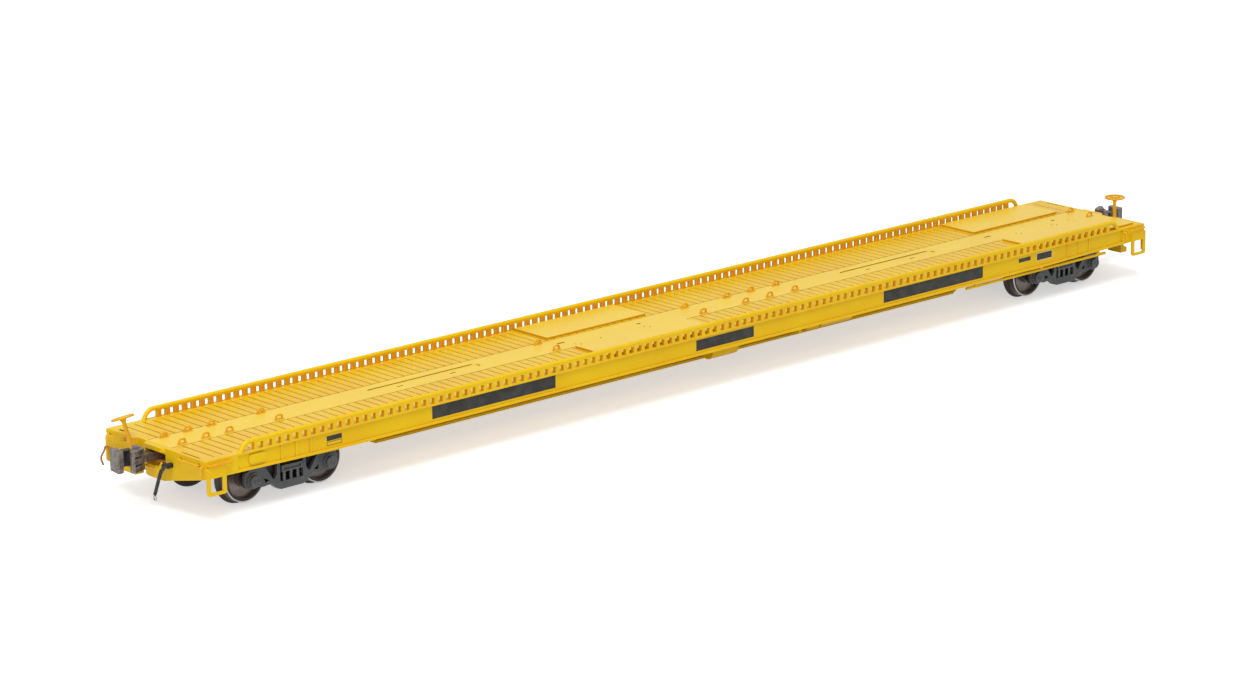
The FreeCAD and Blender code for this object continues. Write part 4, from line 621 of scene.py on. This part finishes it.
def turned_studs(name, body, material, spots, profile, facing, segments):
    """Small studs turned from one profile of (radius, height), one at each spot."""
    shape = bmesh.new()
    turn = Vector((0, 0, 1)).rotation_difference(Vector(facing)).to_matrix()
    for spot in spots:
        rings = []
        for radius, height in profile:
            ring = []
            for step in range(segments):
                angle = math.tau * step / segments
                point = Vector((radius * math.cos(angle), radius * math.sin(angle), height))
                ring.append(shape.verts.new((turn @ point + Vector(spot)) * MM))
            rings.append(ring)
        for lower, upper in zip(rings, rings[1:]):
            for step in range(segments):
                after = (step + 1) % segments
                shape.faces.new((lower[step], lower[after], upper[after], upper[step]))
        shape.faces.new(rings[-1])
        shape.faces.new(list(reversed(rings[0])))
    mesh = bpy.data.meshes.new(name)
    shape.to_mesh(mesh)
    shape.free()
    mesh.materials.append(MATERIALS[material])
    piece = bpy.data.objects.new(name, mesh)
    bpy.context.scene.collection.objects.link(piece)
    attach(piece, body)


def add_studs():
    """Bolts on the deck's strip and on the bearing caps."""
    spots = [(x, y, TOP) for x, y in DECK_BOLTS]
    turned_studs("deck_bolts", "root", "lever", spots, DOME, (0, 0, 1), 12)
    for end, sign in (("left", -1), ("right", 1)):
        for side, out in (("near", -1), ("far", 1)):
            spots = []
            for axle in (-AXLE_STEP, AXLE_STEP):
                for turn in BOLT_TURNS:
                    x = sign * TRUCK_X + axle + BOLT_CIRCLE * math.cos(math.radians(turn))
                    z = AXLE_Z + BOLT_CIRCLE * math.sin(math.radians(turn))
                    spots.append((x, out * CAP_FACE, z))
            name = "cap_bolts_" + end + "_" + side
            facing = (0, out, 0)
            turned_studs(name, "truck_" + end, "truck", spots, HEX_HEAD, facing, 6)


def make_floor():
    """Pale floor that glows for the camera and in reflections."""
    size = FLOOR_HALF
    corners = [(-size, -size, 0), (size, -size, 0), (size, size, 0), (-size, size, 0)]
    mesh = bpy.data.meshes.new("floor")
    mesh.from_pydata(corners, [], [(0, 1, 2, 3)])
    floor = bpy.data.objects.new("floor", mesh)
    bpy.context.scene.collection.objects.link(floor)
    n = Nodes("floor_paint")
    n.tree.nodes.remove(n.shader)
    colour = n.mix(n.noise(0.01, 2.0), *FLOOR_TONES)
    diffuse = n.add("ShaderNodeBsdfDiffuse", {"Color": colour})
    path = n.add("ShaderNodeLightPath").outputs
    seen = n.either(path["Is Camera Ray"], path["Is Glossy Ray"], path["Is Transmission Ray"])
    inputs = {"Color": WHITE, "Strength": n.both(seen, FLOOR_GLOW)}
    glow = n.add("ShaderNodeEmission", inputs)
    total = n.add("ShaderNodeAddShader", {0: diffuse.outputs[0], 1: glow.outputs[0]})
    n.put(total.outputs[0], n.tree.nodes["Material Output"].inputs["Surface"])
    mesh.materials.append(n.material)


def make_world():
    """Soft light all round, and plain white for the camera and in reflections."""
    world = bpy.data.worlds.new("studio")
    bpy.context.scene.world = world
    world.use_nodes = True
    tree = world.node_tree
    soft = tree.nodes["Background"]
    white = tree.nodes.new("ShaderNodeBackground")
    for background, strength in ((soft, WORLD_LIGHT), (white, 1.0)):
        background.inputs["Color"].default_value = WHITE
        background.inputs["Strength"].default_value = strength
    path = tree.nodes.new("ShaderNodeLightPath").outputs
    seen = path["Is Camera Ray"]
    for name in ("Is Glossy Ray", "Is Transmission Ray"):
        larger = tree.nodes.new("ShaderNodeMath")
        larger.operation = "MAXIMUM"
        tree.links.new(seen, larger.inputs[0])
        tree.links.new(path[name], larger.inputs[1])
        seen = larger.outputs[0]
    mix = tree.nodes.new("ShaderNodeMixShader")
    tree.links.new(seen, mix.inputs[0])
    tree.links.new(soft.outputs[0], mix.inputs[1])
    tree.links.new(white.outputs[0], mix.inputs[2])
    tree.links.new(mix.outputs[0], tree.nodes["World Output"].inputs["Surface"])


def area_light(name, place, size, power):
    """A round lamp that faces the origin."""
    data = bpy.data.lights.new(name, "AREA")
    data.shape = "DISK"
    data.size = size
    data.energy = power
    lamp = bpy.data.objects.new(name, data)
    bpy.context.scene.collection.objects.link(lamp)
    lamp.location = place
    lamp.rotation_euler = (-Vector(place)).to_track_quat("-Z", "Y").to_euler()


def make_camera():
    data = bpy.data.cameras.new("camera")
    data.sensor_width = SENSOR
    data.lens = LENS
    camera = bpy.data.objects.new("camera", data)
    bpy.context.scene.collection.objects.link(camera)
    turn = Matrix(CAMERA_TURN).to_4x4()
    camera.matrix_world = Matrix.Translation(CAMERA_PLACE) @ turn
    bpy.context.scene.camera = camera


make_camera()
dress_nodes()
add_studs()
make_floor()
make_world()
for light in LIGHTS:
    area_light(*light)
bpy.context.scene.view_settings.view_transform = "Standard"
